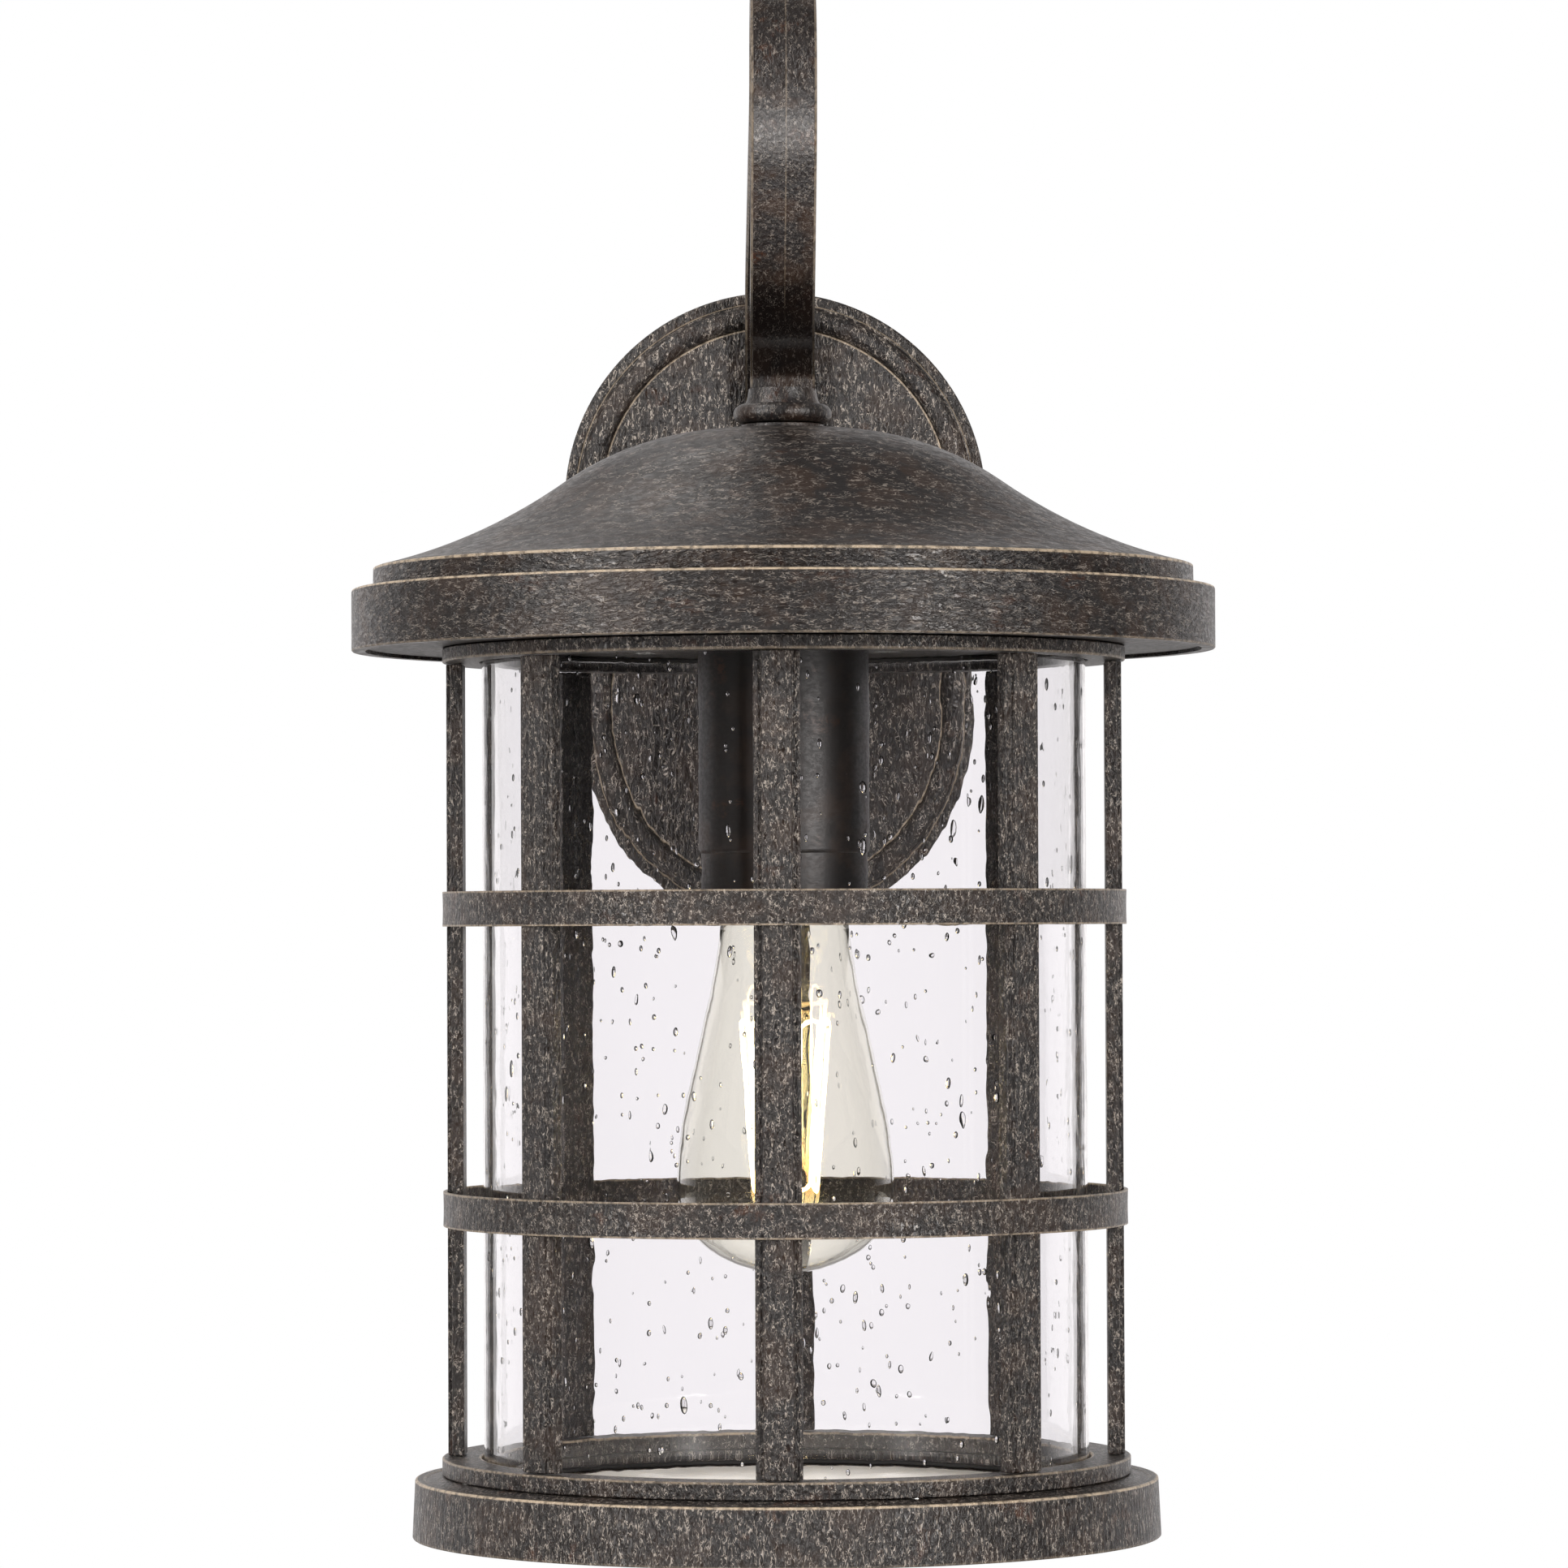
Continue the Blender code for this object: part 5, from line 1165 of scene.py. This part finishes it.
loop_top = bulb_tip + 74.3 * mm
loop_bottom = bulb_tip + 24 * mm
loop_radius = 13 * mm
loop_taper = 0.72
loop_legs = 10
loop_turn = 2 * mm
wire_radius = 0.6 * mm
route = []
for leg in range(loop_legs):
    rising = leg % 2 == 0
    angle = radians(20) + 2 * pi * leg / loop_legs
    ends = (loop_bottom + loop_turn, loop_top - loop_turn)
    levels = [ends[0] + (ends[1] - ends[0]) * step / 8 for step in range(9)]
    for level in levels if rising else reversed(levels):
        share = (level - loop_bottom) / (loop_top - loop_bottom)
        radius = loop_radius * (loop_taper + (1 - loop_taper) * share)
        route.append((radius * sin(angle), axis_y - radius * cos(angle), level))
    if leg < loop_legs - 1:
        for turn_share in (0.25, 0.5, 0.75):
            between = angle + 2 * pi / loop_legs * turn_share
            radius = loop_radius * (1 if rising else loop_taper)
            lift = loop_turn * sin(pi * turn_share)
            level = ends[1] + lift if rising else ends[0] - lift
            route.append((radius * sin(between), axis_y - radius * cos(between), level))
filament = draw_out("loop_filament", route, closed=False)
bpy.ops.object.mode_set(mode="OBJECT")
bpy.ops.object.convert(target="CURVE")
filament = bpy.context.object
filament.data.bevel_depth = wire_radius
filament.data.bevel_resolution = 2
filament.data.use_fill_caps = True
bpy.ops.object.convert(target="MESH")
filament = bpy.context.object
bpy.ops.object.mode_set(mode="EDIT")
bpy.ops.mesh.select_all(action="DESELECT")
bpy.ops.mesh.select_non_manifold()
bpy.ops.mesh.fill()
close_up(filament)
soften(filament, 0, sharp=50)

material, shade, shader = new_finish("glowing_tungsten")
place, x, y, z = axes_of(shade)
hot = near(z, (loop_top + loop_bottom) / 2 + 2 * mm, 34 * mm)
flicker = shade.noise(place, (300, 300, 120), 2.0)
glow = shade.mix(hot, (1.0, 0.42, 0.06), (1.0, 0.83, 0.42))
feed(shade, shader, Base_Color=shade.mix(flicker, (0.5, 0.35, 0.2), (0.8, 0.6, 0.35)), Roughness=0.5)
feed(shade, shader, Emission_Color=glow, Emission_Strength=14.0)
dress(filament, "bulb", "tungsten", material, "bulb_filament")

cap_low, cap_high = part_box("bulb_cap")
cap_radius = (cap_high.x - cap_low.x) / 2
cap_wall = 0.6 * mm
cap_bend = cap_high.z - 2 * mm
thread_pitch = 3.6 * mm
thread_turns = int((cap_bend - cap_low.z) / thread_pitch)
thread = []
for step in range(thread_turns * 8 + 1):
    share = step / 8
    thread.append((cap_radius - 0.35 * mm * (1 - cos(2 * pi * share)), cap_low.z + thread_pitch * share))
cap_outline = thread + [
    (cap_radius - 0.1 * mm, cap_bend),
    (9 * mm, cap_high.z),
    (8.4 * mm, cap_high.z),
    (cap_radius - 2 * cap_wall, cap_bend - 0.3 * mm),
    (cap_radius - 2 * cap_wall, cap_low.z),
]
cap = soften(lathe("screw_cap", cap_outline, 64), 0)
zinc = metal_finish("zinc_plating", (0.62, 0.62, 0.60), 0.32)
dress(cap, "bulb", "zinc_plate", zinc, "bulb_cap")


# ---------------------------------------------------------------- fixings and fittings inside
# Bought-in parts that keep their own shape: the plated crossbar, studs, screws, pipe, nuts and stirrup; the
# porcelain lampholder with its brass shell; the wires with their screw-on connectors.

porcelain = soft_finish("glazed_porcelain", (0.82, 0.80, 0.75), 0.22, 500, 0.01 * mm, 0.08)
connector = soft_finish("orange_connector", (0.70, 0.19, 0.03), 0.42, 700, 0.03 * mm, 0.2)
black_wire = soft_finish("black_insulation", (0.02, 0.02, 0.02), 0.42, 800)
white_wire = soft_finish("white_insulation", (0.78, 0.77, 0.73), 0.42, 800, spread=0.1)
green_wire = soft_finish("green_insulation", (0.04, 0.28, 0.08), 0.42, 800, spread=0.2)
green_metal = metal_finish("green_plated_screw", (0.10, 0.42, 0.18), 0.35)
black_glass = soft_finish("black_insulator", (0.015, 0.014, 0.014), 0.2, 400, 0.01 * mm)
kept = {
    "crossbar stud_left stud_right arm_screw_upper arm_screw_lower lamp_pipe roof_nut": zinc,
    "socket_nut socket_bracket cage_screw_1 cage_screw_2 cage_screw_3": zinc,
    "base_screw_1 base_screw_2 base_screw_3": zinc,
    "ground_screw": green_metal,
    "roof_pan": satin_coat,
    "socket_body": porcelain,
    "socket_shell socket_contact bulb_contact": brass,
    "bulb_insulator": black_glass,
    "wire_line": black_wire,
    "wire_neutral": white_wire,
    "wire_ground": green_wire,
    "wire_nut_line wire_nut_neutral": connector,
}
for names, material in kept.items():
    for name in names.split():
        node = frame["nodes"][name]
        node.data.materials.clear()
        node.data.materials.append(material)


# ---------------------------------------------------------------- studio
# A plain pale floor, a soft white room, softboxes of which the low one lights the arm alone, a small light
# for what the bulb throws on the floor pan, and a long-lens camera a little left of the lantern's axis.

floor_level = -1.2
bpy.ops.mesh.primitive_plane_add(size=8, location=(0, 0, floor_level))
ground = bpy.context.object
ground.name = "studio_floor"
bpy.ops.object.transform_apply(location=True, rotation=True, scale=True)
pale = soft_finish("pale_floor", (0.82, 0.81, 0.80), 0.6, 60, 0.2 * mm, 0.03)
ground.data.materials.append(pale)

world = bpy.data.worlds.new("studio")
bpy.context.scene.world = world
world.use_nodes = True
sky = Shade(world.node_tree)
heading_of = sky.node("TexCoord", output="Generated")
sky.node("SeparateXYZ", sockets={0: heading_of})
split = world.node_tree.nodes[-1].outputs
behind = Shade(world.node_tree, split[1])
above = Shade(world.node_tree, split[2])
room_dark = (0.05, 0.046, 0.043)
room_white = (1.10, 1.07, 1.07)
room_top = (0.22, 0.21, 0.205)
seen_through = (1.08, 1.05, 1.065)
soft_room = sky.mix(behind.ease(0.12, 0.9), room_dark, room_white)
soft_room = sky.mix(above.ease(0.22, 0.6), soft_room, room_top)
camera_ray = sky.node("LightPath", output="Is Camera Ray")
through = sky.node("LightPath", output="Is Transmission Ray")
bounced = sky.node("LightPath", output="Glossy Depth") + sky.node("LightPath", output="Diffuse Depth")
straight = through * (1 - bounced.ease(0.0, 1.0))
backdrop = sky.mix(straight, soft_room, seen_through)
backdrop = sky.mix(camera_ray, backdrop, (1, 1, 1))
background = world.node_tree.nodes["Background"]
world.node_tree.links.new(backdrop.socket, background.inputs["Color"])
background.inputs["Strength"].default_value = 1.0


aim = Vector((0, axis_y, -0.05))
warm_white = (1.0, 0.965, 0.94)
lit = bpy.data.collections.new("lit_by_softboxes")
for piece in bpy.context.scene.objects:
    if piece.type == "MESH" and piece not in (glass, bulb, stem):
        lit.objects.link(piece)


def softbox(name, place, width, height, power):
    bpy.ops.object.light_add(type="AREA", location=place)
    lamp = bpy.context.object
    lamp.name = name
    lamp.data.shape = "RECTANGLE"
    lamp.data.size = width
    lamp.data.size_y = height
    lamp.data.energy = power
    lamp.data.color = warm_white
    lamp.rotation_euler = (aim - Vector(place)).to_track_quat("-Z", "Y").to_euler()
    lamp.light_linking.receiver_collection = lit
    lamp.light_linking.blocker_collection = lit


softbox("left_softbox", (-1.70, -1.45, 0.35), 0.36, 1.5, 35)
softbox("right_softbox", (1.40, -1.95, 0.30), 0.40, 1.4, 44)
softbox("high_left_softbox", (-1.0, -0.55, 1.55), 0.55, 0.55, 12)
softbox("rear_top_softbox", (-0.5, 1.05, 1.6), 0.7, 0.5, 3)
softbox("low_front_softbox", (0.0, -1.35, -1.0), 1.4, 0.6, 26)
arm_only = bpy.data.collections.new("lit_from_below")
arm_only.objects.link(strap)
bpy.context.object.light_linking.receiver_collection = arm_only

floor_only = bpy.data.collections.new("lit_by_bulb")
floor_only.objects.link(pan)
bpy.ops.object.light_add(type="AREA", location=(0, axis_y, floor + 52 * mm))
bulb_light = bpy.context.object
bulb_light.name = "light_of_the_bulb"
bulb_light.data.shape = "DISK"
bulb_light.data.size = 0.09
bulb_light.data.energy = 0.06
bulb_light.data.color = (1.0, 0.985, 0.95)
bulb_light.visible_camera = False
bulb_light.visible_transmission = False
bulb_light.light_linking.receiver_collection = floor_only
bulb_light.light_linking.blocker_collection = floor_only

eye = Vector((-0.0313, -2.1548, -0.1006))
lens = 155.2
pitch = radians(1.2)
roll = radians(-0.23)
bpy.ops.object.camera_add(location=eye)
camera = bpy.context.object
camera.name = "camera"
camera.data.lens = lens
camera.data.sensor_width = 36
towards = Vector((0, axis_y, 0)) - Vector((eye.x, eye.y, 0))
yaw = -Vector((0, 1)).angle_signed(Vector((towards.x, towards.y)))
turned = Matrix.Rotation(yaw, 4, "Z") @ Matrix.Rotation(radians(90) + pitch, 4, "X")
turned = turned @ Matrix.Rotation(roll, 4, "Z")
camera.rotation_euler = turned.to_euler()
bpy.context.scene.camera = camera
bpy.context.scene.view_settings.view_transform = "Standard"
